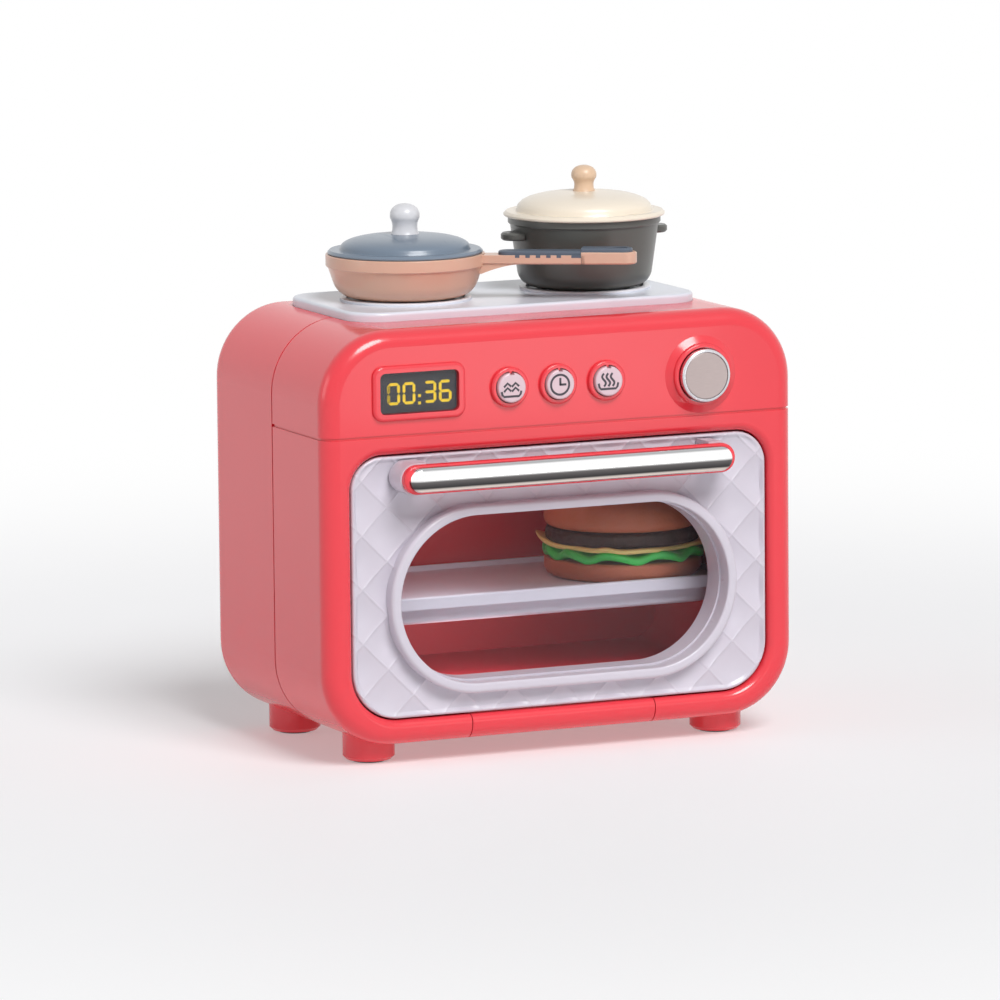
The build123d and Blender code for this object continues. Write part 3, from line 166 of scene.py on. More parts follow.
def remap(tree, source, low, high, from_low=0.0, from_high=1.0):
    made = node(tree, "ShaderNodeMapRange")
    for key, value in (("Value", source), ("To Min", low), ("To Max", high),
                       ("From Min", from_low), ("From Max", from_high)):
        feed(made.inputs[key], value)
    return made.outputs["Result"]


def math_node(tree, operation, a, b=None):
    made = node(tree, "ShaderNodeMath", operation=operation)
    for index, value in enumerate((a, b)):
        if value is not None:
            feed(made.inputs[index], value)
    return made.outputs[0]


def blend_colours(tree, share, a, b):
    made = node(tree, "ShaderNodeMix", data_type="RGBA")
    for index, value in ((0, share), (6, a), (7, b)):
        feed(made.inputs[index], value)
    return made.outputs[2]


def shaded(tree, given, out, pattern, amount):
    """Makes a group's colour lighter and darker along a pattern, by one of the group's inputs."""
    swing = remap(tree, pattern, -0.5, 0.5)
    change = math_node(tree, "MULTIPLY", swing, given.outputs[amount])
    value = math_node(tree, "ADD", change, 1.0)
    tint = node(tree, "ShaderNodeHueSaturation")
    wire(given.outputs["Colour"], tint.inputs["Color"])
    wire(value, tint.inputs["Value"])
    wire(tint.outputs["Color"], out.inputs["Colour"])


def skin_group():
    """Moulded surface: slow colour drift, faint orange peel, and hair-fine scuffs in the gloss."""
    tree, given, out = new_group(
        "Moulded skin",
        {"Colour": (0.8, 0.8, 0.8, 1), "Roughness": 0.3, "Drift": 0.05, "Peel size": 700.0,
         "Peel depth": 0.1, "Scuffs": 0.15}, "Colour", "Roughness", "Height")
    drift = noise_at(tree, 14.0, 2.0)
    peel = noise_at(tree, given.outputs["Peel size"], 2.0)
    shaded(tree, given, out, drift, "Drift")
    scuffs = []
    for stretch in ((900.0, 60.0, 120.0), (80.0, 100.0, 1100.0)):
        lines = noise_at(tree, 1.0, 2.0, 0.6, stretch, 0.6)
        scuffs.append(remap(tree, lines, 0.0, 1.0, 0.66, 0.72))
    cloud = remap(tree, noise_at(tree, 40.0, 4.0, 0.6), 0.85, 1.2)
    worn = math_node(tree, "MULTIPLY", math_node(tree, "MAXIMUM", *scuffs),
                     given.outputs["Scuffs"])
    even = math_node(tree, "MULTIPLY", given.outputs["Roughness"], cloud)
    wire(math_node(tree, "ADD", even, worn), out.inputs["Roughness"])
    wire(math_node(tree, "MULTIPLY", peel, given.outputs["Peel depth"]), out.inputs["Height"])
    return tree


def brushed_group():
    """Metal brushed one way: streaks in its shade, its gloss and its height."""
    tree, given, out = new_group(
        "Brushed metal", {"Colour": (0.6, 0.6, 0.6, 1), "Roughness": 0.3, "Streaks": 0.3},
        "Colour", "Roughness", "Height")
    streak = noise_at(tree, 1.0, 6.0, 0.7, (350.0, 350.0, 9000.0))
    shaded(tree, given, out, streak, "Streaks")
    spread = remap(tree, streak, 0.75, 1.3)
    wire(math_node(tree, "MULTIPLY", given.outputs["Roughness"], spread), out.inputs["Roughness"])
    wire(streak, out.inputs["Height"])
    return tree


def crumb_group():
    """Bread or meat in soft vinyl: blotches of a second colour, specks, and a pitted height."""
    tree, given, out = new_group(
        "Crumb",
        {"Colour": (0.5, 0.3, 0.1, 1), "Blotch": (0.4, 0.2, 0.1, 1), "Blotch size": 60.0,
         "Grain size": 900.0, "Specks": 0.2}, "Colour", "Height")
    cloud = remap(tree, noise_at(tree, given.outputs["Blotch size"], 4.0, 0.6),
                  0.0, 1.0, 0.35, 0.7)
    base = blend_colours(tree, cloud, given.outputs["Colour"], given.outputs["Blotch"])
    cells = node(tree, "ShaderNodeTexVoronoi")
    wire(object_place(tree), cells.inputs["Vector"])
    wire(given.outputs["Grain size"], cells.inputs["Scale"])
    speck = remap(tree, cells.outputs["Distance"], 1.0, 0.0, 0.05, 0.3)
    marked = math_node(tree, "MULTIPLY", speck, given.outputs["Specks"])
    wire(blend_colours(tree, marked, base, (0.02, 0.012, 0.008, 1)), out.inputs["Colour"])
    grain = noise_at(tree, given.outputs["Grain size"], 3.0, 0.6)
    wire(math_node(tree, "ADD", grain, cells.outputs["Distance"]), out.inputs["Height"])
    return tree


groups = {}
coat_roughness = 0.08
moulded_bump = 0.0001
brushed_bump = 0.00002
glow_depth = 0.002


def new_material(name):
    material = bpy.data.materials.new(name)
    material.use_nodes = True
    tree = material.node_tree
    tree.nodes.clear()
    out = node(tree, "ShaderNodeOutputMaterial")
    shader = node(tree, "ShaderNodeBsdfPrincipled")
    wire(shader.outputs["BSDF"], out.inputs["Surface"])
    return material, tree, shader


def group_material(name, builder, distance, strength=1.0, **values):
    """Material whose colour, gloss and height come from a node group."""
    material, tree, shader = new_material(name)
    if builder not in groups:
        groups[builder] = builder()
        arrange(groups[builder])
    skin = node(tree, "ShaderNodeGroup", node_tree=groups[builder])
    set_inputs(skin, **values)
    for source, target in (("Colour", "Base Color"), ("Roughness", "Roughness")):
        if source in skin.outputs:
            wire(skin.outputs[source], shader.inputs[target])
    bump = node(tree, "ShaderNodeBump")
    set_inputs(bump, Distance=distance, Strength=strength)
    wire(skin.outputs["Height"], bump.inputs["Height"])
    wire(bump.outputs["Normal"], shader.inputs["Normal"])
    return material, shader


def moulded(name, rgb, roughness=0.3, coat=0.0, drift=0.05, peel_size=700.0, peel=0.1, scuffs=0.12,
            metallic=0.0, specular=0.5, emission=0.0, alpha=1.0, subsurface=0.0):
    """Moulded plastic, rubber or plated plastic."""
    material, shader = group_material(
        name, skin_group, moulded_bump, Colour=(*rgb, 1), Roughness=roughness, Drift=drift,
        Peel_size=peel_size, Peel_depth=peel, Scuffs=scuffs)
    set_inputs(shader, Metallic=metallic, Coat_Weight=coat, Coat_Roughness=coat_roughness, Alpha=alpha,
               Specular_IOR_Level=specular, Subsurface_Weight=subsurface, Subsurface_Scale=glow_depth)
    if emission:
        wire(shader.inputs["Base Color"].links[0].from_socket, shader.inputs["Emission Color"])
        set_inputs(shader, Emission_Strength=emission)
    return material


def brushed(name, rgb, roughness=0.3, streaks=0.3):
    material, shader = group_material(
        name, brushed_group, brushed_bump, Colour=(*rgb, 1), Roughness=roughness, Streaks=streaks)
    set_inputs(shader, Metallic=1.0)
    return material


def crumb(name, rgb, roughness=0.55, blotch=(0, 0, 0), blotch_size=60.0, grain_size=900.0, specks=0.2,
          depth=0.0003):
    """Soft vinyl with the look of food."""
    material, shader = group_material(
        name, crumb_group, depth, 0.5, Colour=(*rgb, 1), Blotch=(*colour(*blotch), 1),
        Blotch_size=blotch_size, Grain_size=grain_size, Specks=specks)
    set_inputs(shader, Roughness=roughness, Subsurface_Weight=0.1, Subsurface_Scale=glow_depth)
    return material


def plated_bar(name, reflected_white, roughness):
    """Mirror plating with its reflections painted in bands along the bar: a painted white reflection above,
    painted dark reflections below the middle, a painted cream reflection at the foot.
    """
    material, tree, shader = new_material(name)
    low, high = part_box("handle_bar")
    ramp = node(tree, "ShaderNodeValToRGB")
    wire(remap(tree, object_axes(tree)["Z"], 0.0, 1.0, low.z, high.z), ramp.inputs["Fac"])
    # Painted reflections by height, foot to top: cream, grey, near black and dark grey, white, then grey at
    # the top edge.
    painted_reflection_bands = ((0.0, (0.9, 0.84, 0.76)), (0.13, (0.72, 0.66, 0.6)), (0.2, (0.05, 0.05, 0.05)),
             (0.44, (0.16, 0.15, 0.15)), (0.52, reflected_white), (0.84, reflected_white), (0.9, (0.45, 0.45, 0.46)),
             (1.0, (0.55, 0.55, 0.56)))
    while len(ramp.color_ramp.elements) < len(painted_reflection_bands):
        ramp.color_ramp.elements.new(0.5)
    for element, (position, shade) in zip(ramp.color_ramp.elements, painted_reflection_bands):
        element.position = position
        element.color = (*shade, 1)
    wire(ramp.outputs["Color"], shader.inputs["Base Color"])
    smear = noise_at(tree, 1.0, 3.0, 0.6, (60.0, 300.0, 900.0))
    wire(remap(tree, smear, roughness, 0.12), shader.inputs["Roughness"])
    set_inputs(shader, Metallic=1.0)
    return material


# Mesh helpers. Outlines are lists of points in millimetres, seen from the front or from above.

def turns(first, last, steps):
    """Angles in radians between two angles in degrees."""
    return [radians(first + (last - first) * step / steps) for step in range(steps + 1)]


def rounding(radius, steps):
    """Quarter round of an edge, as (how far in, how far below its top)."""
    return [(radius * (1 - cos(turn)), radius * (1 - sin(turn))) for turn in turns(0, 90, steps)]


def slot_loop(length, height, inset=0.0, steps=32):
    """Outline with straight long sides and round ends."""
    radius = height / 2 - inset
    straight = (length - height) / 2
    return [(side * straight + radius * cos(turn), radius * sin(turn))
            for side, first in ((1, -90), (-1, 90)) for turn in turns(first, first + 180, steps)]


def circle_loop(radius, steps=112):
    return [(radius * cos(2 * pi * i / steps), radius * sin(2 * pi * i / steps))
            for i in range(steps)]


def front_points(loop, depth, x=0.0, z=0.0):
    """Front-view outline placed at a depth."""
    return [Vector((x + u, depth, z + v)) * MM for u, v in loop]


def plan_points(loop, height, x=0.0, y=0.0):
    return [Vector((x + u, y + v, height)) * MM for u, v in loop]


def finished_mesh(name, points, faces, sharp=35):
    """Mesh with its doubled points merged, its faces turned outwards and its shading smooth."""
    mesh = bpy.data.meshes.new(name)
    mesh.from_pydata(points, [], faces)
    work = bmesh.new()
    work.from_mesh(mesh)
    bmesh.ops.remove_doubles(work, verts=work.verts, dist=1e-7)
    bmesh.ops.recalc_face_normals(work, faces=work.faces)
    work.to_mesh(mesh)
    work.free()
    mesh.shade_smooth()
    mesh.set_sharp_from_angle(angle=radians(sharp))
    return mesh


def mesh_of_loops(name, loops, ring=False, sharp=35):
    """Mesh of equal loops joined one to the next, its ends closed, or its last loop joined to its first."""
    count = len(loops[0])
    points = [point for loop in loops for point in loop]
    pairs = [(a, a + 1) for a in range(len(loops) - 1)]
    if ring:
        pairs.append((len(loops) - 1, 0))
    faces = []
    for a, b in pairs:
        for i in range(count):
            j = (i + 1) % count
            faces.append((a * count + i, a * count + j, b * count + j, b * count + i))
    if not ring:
        faces.append(tuple(reversed(range(count))))
        faces.append(tuple(range(len(points) - count, len(points))))
    return finished_mesh(name, points, faces, sharp)


def lathe(name, profile, x, y, base, sharp=35, wave=None):
    """Profile of (radius, height) turned about a vertical line. A radius of zero closes the end.

    wave gives extra radius and height at an angle and a place on the profile.
    """
    steps = 144
    points, faces, rows = [], [], []
    for place, (radius, height) in enumerate(profile):
        if radius < 1e-6:
            rows.append([len(points)])
            points.append(Vector((x, y, base + height)) * MM)
            continue
        rows.append(list(range(len(points), len(points) + steps)))
        for i in range(steps):
            turn = 2 * pi * i / steps
            more_r, more_z = wave(turn, place) if wave else (0.0, 0.0)
            spot = ((radius + more_r) * cos(turn) + x, (radius + more_r) * sin(turn) + y,
                    base + height + more_z)
            points.append(Vector(spot) * MM)
    for low, high in zip(rows, rows[1:]):
        for i in range(steps):
            j = (i + 1) % steps
            quad = [low[i % len(low)], low[j % len(low)], high[j % len(high)], high[i % len(high)]]
            faces.append(tuple(dict.fromkeys(quad)))
    return finished_mesh(name, points, faces, sharp)


def arc(centre_r, centre_z, radius_r, radius_z, first, last, steps=8, fullness=1.0):
    """Points of an ellipse's arc between two angles in degrees, as (radius, height)."""
    return [(centre_r + radius_r * copysign(abs(cos(turn)) ** fullness, cos(turn)),
             centre_z + radius_z * copysign(abs(sin(turn)) ** fullness, sin(turn)))
            for turn in turns(first, last, steps)]


def joined(name, meshes, sharp=35):
    """One mesh of several that share their finish."""
    points, faces = [], []
    for mesh in meshes:
        first = len(points)
        points += [v.co.copy() for v in mesh.vertices]
        faces += [tuple(first + i for i in p.vertices) for p in mesh.polygons]
        bpy.data.meshes.remove(mesh)
    return finished_mesh(name, points, faces, sharp)


def add_piece(name, mesh, body, look, *replaced, slot=None):
    piece = bpy.data.objects.new(name, mesh)
    bpy.context.scene.collection.objects.link(piece)
    mesh.materials.append(finish(look))
    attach(piece, body)
    if replaced:
        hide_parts(*replaced)


def node_box(name):
    """Lowest and highest corner and middle of a CAD node in millimetres."""
    low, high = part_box(name)
    low, high = low / MM, high / MM
    return low, high, (low + high) / 2


stroke_sunk = 0.1


def ribbon(points, width, depth, rise):
    """Flat raised stroke along front-view points, as a closed mesh. It sinks a little into the surface."""
    loops = []
    for i, here in enumerate(points):
        before = Vector(points[max(i - 1, 0)])
        after = Vector(points[min(i + 1, len(points) - 1)])
        along = (after - before).normalized()
        across = Vector((-along.y, along.x)) * width / 2
        edges = [Vector(here) + across, Vector(here) - across]
        loops.append(front_points(edges, depth - rise) + front_points(edges[::-1], depth + stroke_sunk))
    return mesh_of_loops("stroke", loops)


class CasingSettings(bpy.types.PropertyGroup):
    shell: colour_prop("Shell", "Colour of the casing, its feet and its covers", (228, 52, 64))
    # The cavity's red is the casing's plastic made darker: the cavity's shade is painted into it.
    liner: colour_prop("Cavity", "Colour of the oven cavity", (196, 44, 54))
    shelf: colour_prop("Shelf", "Colour of the shelf", (220, 218, 232))


class DoorSettings(bpy.types.PropertyGroup):
    shell: colour_prop("Door", "Colour of the door and its handle's posts", (203, 197, 208))
    quilt_pitch: length_prop("Quilt pitch", "Size of one diamond of the quilt, corner to corner", 15.5)
    quilt_depth: length_prop("Quilt depth", "How far a diamond's middle lies behind its corners", 1.15)


class PanelSettings(bpy.types.PropertyGroup):
    buttons: colour_prop("Buttons", "Colour of the three push buttons", (216, 190, 198))
    icons: colour_prop("Icons", "Colour of the drawings on the buttons", (66, 62, 70))
    icon_stroke: length_prop("Icon stroke", "Width of the lines of the drawings", 0.62)
    digits: colour_prop("Digits", "Colour of the clock reading", (238, 204, 44))
    glow: share_prop("Glow", "How strongly the clock reading glows", 0.7)


class CookwareSettings(bpy.types.PropertyGroup):
    pan: colour_prop("Frying pan", "Colour of the frying pan", (210, 168, 146))
    pan_lid: colour_prop("Pan lid", "Colour of the frying pan's lid", (112, 126, 142))
    grip: colour_prop("Grip", "Colour of the strip on the pan's handle", (84, 94, 108))
    pot: colour_prop("Pot", "Colour of the pot", (84, 84, 80))
    pot_lid: colour_prop("Pot lid", "Colour of the pot's lid", (238, 226, 208))
    pot_knob: colour_prop("Pot knob", "Colour of the knob on the pot's lid", (222, 190, 160))


class BurgerSettings(bpy.types.PropertyGroup):
    bun: colour_prop("Bun", "Colour of the bun", (190, 108, 80))
    patty: colour_prop("Patty", "Colour of the meat", (74, 50, 42))
    cheese: colour_prop("Cheese", "Colour of the cheese", (238, 212, 132))
    lettuce: colour_prop("Lettuce", "Colour of the lettuce", (60, 204, 88))
    ruffles: IntProperty(name="Ruffles", description="Waves round the lettuce's edge", min=3, default=11)
    ruffle_height: length_prop("Ruffle height", "How far a wave of the lettuce rises and falls", 0.95)


class StageSettings(bpy.types.PropertyGroup):
    floor: colour_prop("Floor", "Colour of the floor and backdrop", (246, 246, 248))


class ToyOvenSettings(bpy.types.PropertyGroup):
    casing: PointerProperty(type=CasingSettings)
    door: PointerProperty(type=DoorSettings)
    panel: PointerProperty(type=PanelSettings)
    cookware: PointerProperty(type=CookwareSettings)
    burger: PointerProperty(type=BurgerSettings)
    stage: PointerProperty(type=StageSettings)


def toy():
    return bpy.context.scene.toy_oven


# Finishes. The sizes of their relief are in metres.
ring_foot = 0.0006
ring_top = 0.0003
crest_width = 0.0007
crest_height = 0.00012


def hob_finish(name, rgb, roughness, **values):
    """Moulded plate whose raised rings are whiter than the rest."""
    material = moulded(name, rgb, roughness, **values)
    tree = material.node_tree
    target = node_of(tree, "BSDF_PRINCIPLED").inputs["Base Color"]
    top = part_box("hob_plate")[1].z
    ring = remap(tree, object_axes(tree)["Z"], 0.0, 1.0, top - ring_foot, top - ring_top)
    white = (*colour(240, 238, 242), 1)
    wire(blend_colours(tree, ring, target.links[0].from_socket, white), target)
    return material


def quilt_finish(name, rgb, roughness, **values):
    """Door plastic with a thin crest drawn along the quilt's ridges."""
    material = moulded(name, rgb, roughness, **values)
    tree = material.node_tree
    pitch = toy().door.quilt_pitch
    low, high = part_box("door_front")
    axes = object_axes(tree)
    rise = math_node(tree, "SUBTRACT", axes["Z"], (low.z + high.z) / 2)
    crests = []
    for operation in ("ADD", "SUBTRACT"):
        along = math_node(tree, operation, axes["X"], rise)
        # A triangle wave of half the pitch is the distance to the nearest ridge, times the root of two.
        away = math_node(tree, "PINGPONG", along, pitch / 2)
        crests.append(remap(tree, away, 1.0, 0.0, 0.0, crest_width))
    crest = math_node(tree, "MAXIMUM", *crests)
    face = low.y + trim_proud * MM
    for start, end in ((face - 0.0002, face), (face + 0.002, face + 0.0014)):
        on_face = remap(tree, axes["Y"], 0.0, 1.0, start, end)
        crest = math_node(tree, "MULTIPLY", crest, on_face)
    ridge = node(tree, "ShaderNodeBump")
    set_inputs(ridge, Distance=crest_height)
    wire(crest, ridge.inputs["Height"])
    wire(node_of(tree, "BUMP").outputs["Normal"], ridge.inputs["Normal"])
    wire(ridge.outputs["Normal"], node_of(tree, "BSDF_PRINCIPLED").inputs["Normal"])
    return material


# Each finish has a maker, a colour, a roughness and its further values. The colour is the path of a
# setting, or levels up to 255 as on a screen, or shares up to 1 as the shader wants them.
looks = {
    "Casing red": (moulded, "casing.shell", 0.22,
                   {"coat": 0.3, "drift": 0.03, "scuffs": 0.0, "peel": 0.04}),
    # Darker copy of the casing red, with the cavity's shade painted into its colour.
    "Cavity red": (moulded, "casing.liner", 0.5, {"drift": 0.05, "peel": 0.2}),
    "Shelf": (moulded, "casing.shelf", 0.4, {}),
    "Quilted door": (quilt_finish, "door.shell", 0.3, {"coat": 0.2, "drift": 0.03}),
    "Door": (moulded, "door.shell", 0.3, {"coat": 0.2, "drift": 0.03}),
    "Hob": (hob_finish, (220, 224, 234), 0.3, {"coat": 0.15}),
    "Pane": (moulded, (0.3, 0.29, 0.31), 0.04,
             {"alpha": 0.045, "drift": 0.0, "peel": 0.02, "scuffs": 0.05, "specular": 0.8}),
    "Lamp": (moulded, (255, 240, 220), 0.4, {"emission": 5.0}),
    "Bright metal": (moulded, (214, 214, 218), 0.2, {"metallic": 1.0, "peel": 0.05}),
    "Screw steel": (brushed, (150, 150, 154), 0.34, {"streaks": 0.2}),
    "Start disc": (brushed, (178, 164, 162), 0.34, {"streaks": 0.35}),
    # The bar's colour is painted reflections in bands; this white is the painted reflection above the
    # middle.
    "Plated bar": (plated_bar, (1.0, 1.0, 1.0), 0.04, {}),
    "Display lens": (moulded, (52, 54, 60), 0.1, {"alpha": 0.25, "peel": 0.02, "drift": 0.0}),
    "Display card": (moulded, (66, 68, 76), 0.5, {}),
    "Digits": (moulded, "panel.digits", 0.5, {"emission": "panel.glow", "peel": 0.02}),
    "Buttons": (moulded, "panel.buttons", 0.36, {"coat": 0.1}),
    "Icons": (moulded, "panel.icons", 0.5, {"peel": 0.02}),
    "Pan": (moulded, "cookware.pan", 0.32, {"coat": 0.2, "subsurface": 0.05}),
    "Grip": (moulded, "cookware.grip", 0.4, {"peel": 0.2}),
    "Pan lid": (moulded, "cookware.pan_lid", 0.3, {"coat": 0.2}),
    "Pan knob": (moulded, (214, 214, 218), 0.3, {"coat": 0.2}),
    "Pot": (moulded, "cookware.pot", 0.36, {"coat": 0.15}),
    "Pot lid": (moulded, "cookware.pot_lid", 0.3, {"coat": 0.2}),
    "Pot knob": (moulded, "cookware.pot_knob", 0.34, {"coat": 0.1}),
    "Bun": (crumb, "burger.bun", 0.55,
            {"blotch": (176, 92, 48), "blotch_size": 55.0, "grain_size": 1100.0, "specks": 0.12,
             "depth": 0.00012}),
    "Patty": (crumb, "burger.patty", 0.6,
              {"blotch": (50, 32, 26), "blotch_size": 160.0, "grain_size": 500.0, "specks": 0.5,
               "depth": 0.0006}),
    "Cheese": (moulded, "burger.cheese", 0.42, {"subsurface": 0.1, "drift": 0.06}),
    "Lettuce": (moulded, "burger.lettuce", 0.34,
                {"subsurface": 0.1, "drift": 0.25, "peel_size": 260.0, "peel": 0.6}),
    "Rubber": (moulded, (60, 60, 62), 0.75, {"peel": 0.5}),
    "Board": (moulded, (52, 118, 66), 0.5, {"drift": 0.1}),
    "Chips": (moulded, (36, 36, 40), 0.5, {}),
    "Pad": (moulded, (150, 152, 158), 0.6, {"peel": 0.3}),
    "Battery box": (moulded, (44, 44, 46), 0.5, {"peel": 0.3}),
    "Cells": (moulded, (196, 148, 60), 0.3, {"coat": 0.3}),
}
finishes = {}


def finish(name):
    """The material of this name, made on its first use."""
    if name not in finishes:
        maker, rgb, roughness, values = looks[name]
        if isinstance(rgb, str):
            rgb = toy().path_resolve(rgb)
        elif max(rgb) > 1:
            rgb = colour(*rgb)
        given = {key: toy().path_resolve(value) if isinstance(value, str) else value
                 for key, value in values.items()}
        finishes[name] = maker(name, rgb, roughness, **given)
        arrange(finishes[name].node_tree)
    return finishes[name]


class TOYOVEN_OT_nodes(bpy.types.Operator):
    """Gives the CAD nodes that stay as they are their finishes"""
    bl_idname = "toy_oven.nodes"
    bl_label = "Finish the frame"

    def execute(self, context):
        for look, names in (("Casing red", "front_casing rear_casing hinge_knuckle feet battery_cover"),
                            ("Door", "door_inner_frame handle_posts"), ("Shelf", "shelf"),
                            ("Hob", "hob_plate"), ("Cavity red", "oven_liner"), ("Pane", "door_window"),
                            ("Lamp", "lamp_lens lamp_led"), ("Display lens", "display_lens"),
                            ("Display card", "display_card"), ("Rubber", "foot_pads"),
                            ("Buttons", "button_grill button_timer button_steam"),
                            ("Screw steel", "casing_screws door_screws hinge_screws handle_screws"),
                            ("Screw steel", "battery_cover_screw board_screws hinge_pin battery_contacts"),
                            ("Board", "control_board lamp_board"), ("Chips", "board_parts speaker"),
                            ("Pad", "button_pad"), ("Battery box", "battery_box"), ("Cells", "batteries")):
            for name in names.split():
                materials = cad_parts[name].data.materials
                materials.clear()
                materials.append(finish(look))
        return {"FINISHED"}


# Door: sizes that its quilted face shares with the CAD, in millimetres
door_top_corner = 9.5
door_bottom_corner = 14.0
door_edge_round = 0.8
door_skin = 2.0
door_rim_wall = 1.8
window_width = 103.0
window_height = 48.3
window_above_low_edge = 33.1
trim_band = 3.0
trim_proud = 3.5
trim_round = 1.2
trim_inner_round = 0.6
outline_spacing = 0.5
quilt_rows = 54
quilt_fade = 1.0


def door_edge(width, height, spacing):
    """Outline of the door about its middle, as (x, z, outward x, outward z)."""
    corners = [(side_x * (width / 2 - radius), side_z * (height / 2 - radius), radius, first)
               for side_x, side_z, radius, first in (
                   (1, -1, door_bottom_corner, -90), (1, 1, door_top_corner, 0),
                   (-1, 1, door_top_corner, 90), (-1, -1, door_bottom_corner, 180))]
    points = []
    for (x, z, radius, first), (next_x, next_z, next_radius, _) in zip(corners, corners[1:] + corners[:1]):
        for turn in turns(first, first + 90, ceil(radius * pi / 2 / spacing)):
            out_x, out_z = cos(turn), sin(turn)
            points.append((x + radius * out_x, z + radius * out_z, out_x, out_z))
        start = Vector(points[-1][:2])
        end = Vector((next_x + next_radius * out_x, next_z + next_radius * out_z))
        cuts = ceil((end - start).length / spacing)
        points += [(*start.lerp(end, cut / cuts), out_x, out_z) for cut in range(1, cuts)]
    return points


def window_spot(x, z, middle_z, grow):
    """Point of the grown window outline nearest to a point of the door's face."""
    straight = (window_width - window_height) / 2
    centre = Vector((max(-straight, min(straight, x)), middle_z))
    return centre + (Vector((x, z)) - centre).normalized() * (window_height / 2 + grow)


def quilt_at(x, z, pitch, depth):
    """How far the quilted face lies behind its corners at a point about the door's middle."""
    half = pitch / 2
    u, v = (x + z) / pitch, (x - z) / pitch
    du, dv = u - floor(u) - 0.5, v - floor(v) - 0.5
    across, up = (du + dv) * half, (du - dv) * half
    return depth * max(0.0, 1 - (across ** 2 + up ** 2) / half ** 2) ** 1.3


class TOYOVEN_OT_door(bpy.types.Operator):
    """Builds the quilted front of the door with the raised band round its window"""
    bl_idname = "toy_oven.door"
    bl_label = "Quilted door"

    def execute(self, context):
        settings = toy().door
        low, high, _ = node_box("door_front")
        middle = (low.z + high.z) / 2
        pitch, depth = settings.quilt_pitch / MM, settings.quilt_depth / MM
        front, back = low.y + trim_proud, high.y
        inner = front + door_skin
        middle_z = low.z + window_above_low_edge - middle
        edge = door_edge(high.x - low.x, high.z - low.z, outline_spacing)

        def outer(inset, y):
            return front_points([(x - ox * inset, z - oz * inset) for x, z, ox, oz in edge], y, 0, middle)

        def window(grow, y):
            return front_points([window_spot(x, z, middle_z, grow) for x, z, _, _ in edge], y, 0, middle)

        loops = [outer(0, back)]
        loops += [outer(inset, front + drop) for inset, drop in rounding(door_edge_round, 5)]
        for row in range(quilt_rows + 1):
            loop = []
            for x, z, ox, oz in edge:
                start = Vector((x - ox * door_edge_round, z - oz * door_edge_round))
                spot = start.lerp(window_spot(x, z, middle_z, trim_band), row / quilt_rows)
                ease = min(1.0, (spot - start).length / quilt_fade)
                sunk = ease * quilt_at(spot.x, spot.y, pitch, depth)
                loop += front_points([spot], front + sunk, 0, middle)
            loops.append(loop)
        loops += [window(trim_band - inset, low.y + drop) for inset, drop in rounding(trim_round, 6)]
        loops += [window(drop, low.y + inset) for inset, drop in rounding(trim_inner_round, 4)]
        loops += [window(0, inner), window(trim_band / 2, inner), outer(door_rim_wall, inner),
                  outer(door_rim_wall, back)]
        add_piece("quilted_door", mesh_of_loops("quilted_door", loops, ring=True, sharp=42), "door",
                  "Quilted door", "door_front")
        return {"FINISHED"}


# Handle
bar_profile_power = 2.2
bar_side = 1.2
bar_steps = 18
backing_round = 0.7


class TOYOVEN_OT_handle(bpy.types.Operator):
    """Builds the plated bar of the handle and the strip that it sits in"""
    bl_idname = "toy_oven.handle"
    bl_label = "Handle"

    def execute(self, context):
        low, high, self.middle = node_box("handle_bar")
        side, half = high.y - bar_side, (high.z - low.z) / 2
        slices = [(0, high.y)]
        for step in range(bar_steps):
            turn = pi / 2 * step / bar_steps
            slices.append((half * (1 - cos(turn) ** (2 / bar_profile_power)),
                           side - (side - low.y) * sin(turn) ** (2 / bar_profile_power)))
        # The plated bar's bands of colour are painted reflections.
        self.capsule("plated_bar", low, high, slices, 60, "Plated bar", "handle_bar")
        low, high, _ = node_box("handle_backing")
        slices = [(0, high.y)] + [(inset, low.y + drop) for inset, drop in rounding(backing_round, 5)]
        self.capsule("bar_backing", low, high, slices, 50, "Casing red", "handle_backing")
        return {"FINISHED"}

    def capsule(self, name, low, high, slices, sharp, look, replaced):
        """Piece with round ends, made of slices that are given as (inset, depth)."""
        x, z = self.middle.x, self.middle.z
        loops = [front_points(slot_loop(high.x - low.x, high.z - low.z, inset), y, x, z)
                 for inset, y in slices]
        add_piece(name, mesh_of_loops(name, loops, sharp=sharp), "door", look, replaced)


# Clock reading and icons
digit_size = (3.9, 6.3)
digit_pitch = 4.75
digit_places = (-1.68, -0.68, 0.68, 1.68)
digit_stroke = 0.82
digit_gap = 0.16
colon_drop = 1.95
colon_half_gap = 1.05
digits_drop = 0.3
reading = ("abcdef", "abcdef", "abcdg", "acdefg")
icon_rise = 0.06
icon_scale = 0.93
icon_shift = -0.35
dial_radius = 3.05

# Start button, in millimetres
cap_radius = 7.7
cap_round = 0.7
stem_radius = 3.0
flange_depth = 6.65
flange_thickness = 1.0
disc_bevel = 0.1
disc_play = 0.05


def digit_bar(length, x, z, upright):
    """Six-cornered outline of one lit part of a digit."""
    half, thin = length / 2, digit_stroke / 2
    points = [(-half, 0), (-half + thin, -thin), (half - thin, -thin), (half, 0), (half - thin, thin),
              (-half + thin, thin)]
    return [(x + v, z + u) if upright else (x + u, z + v) for u, v in points]


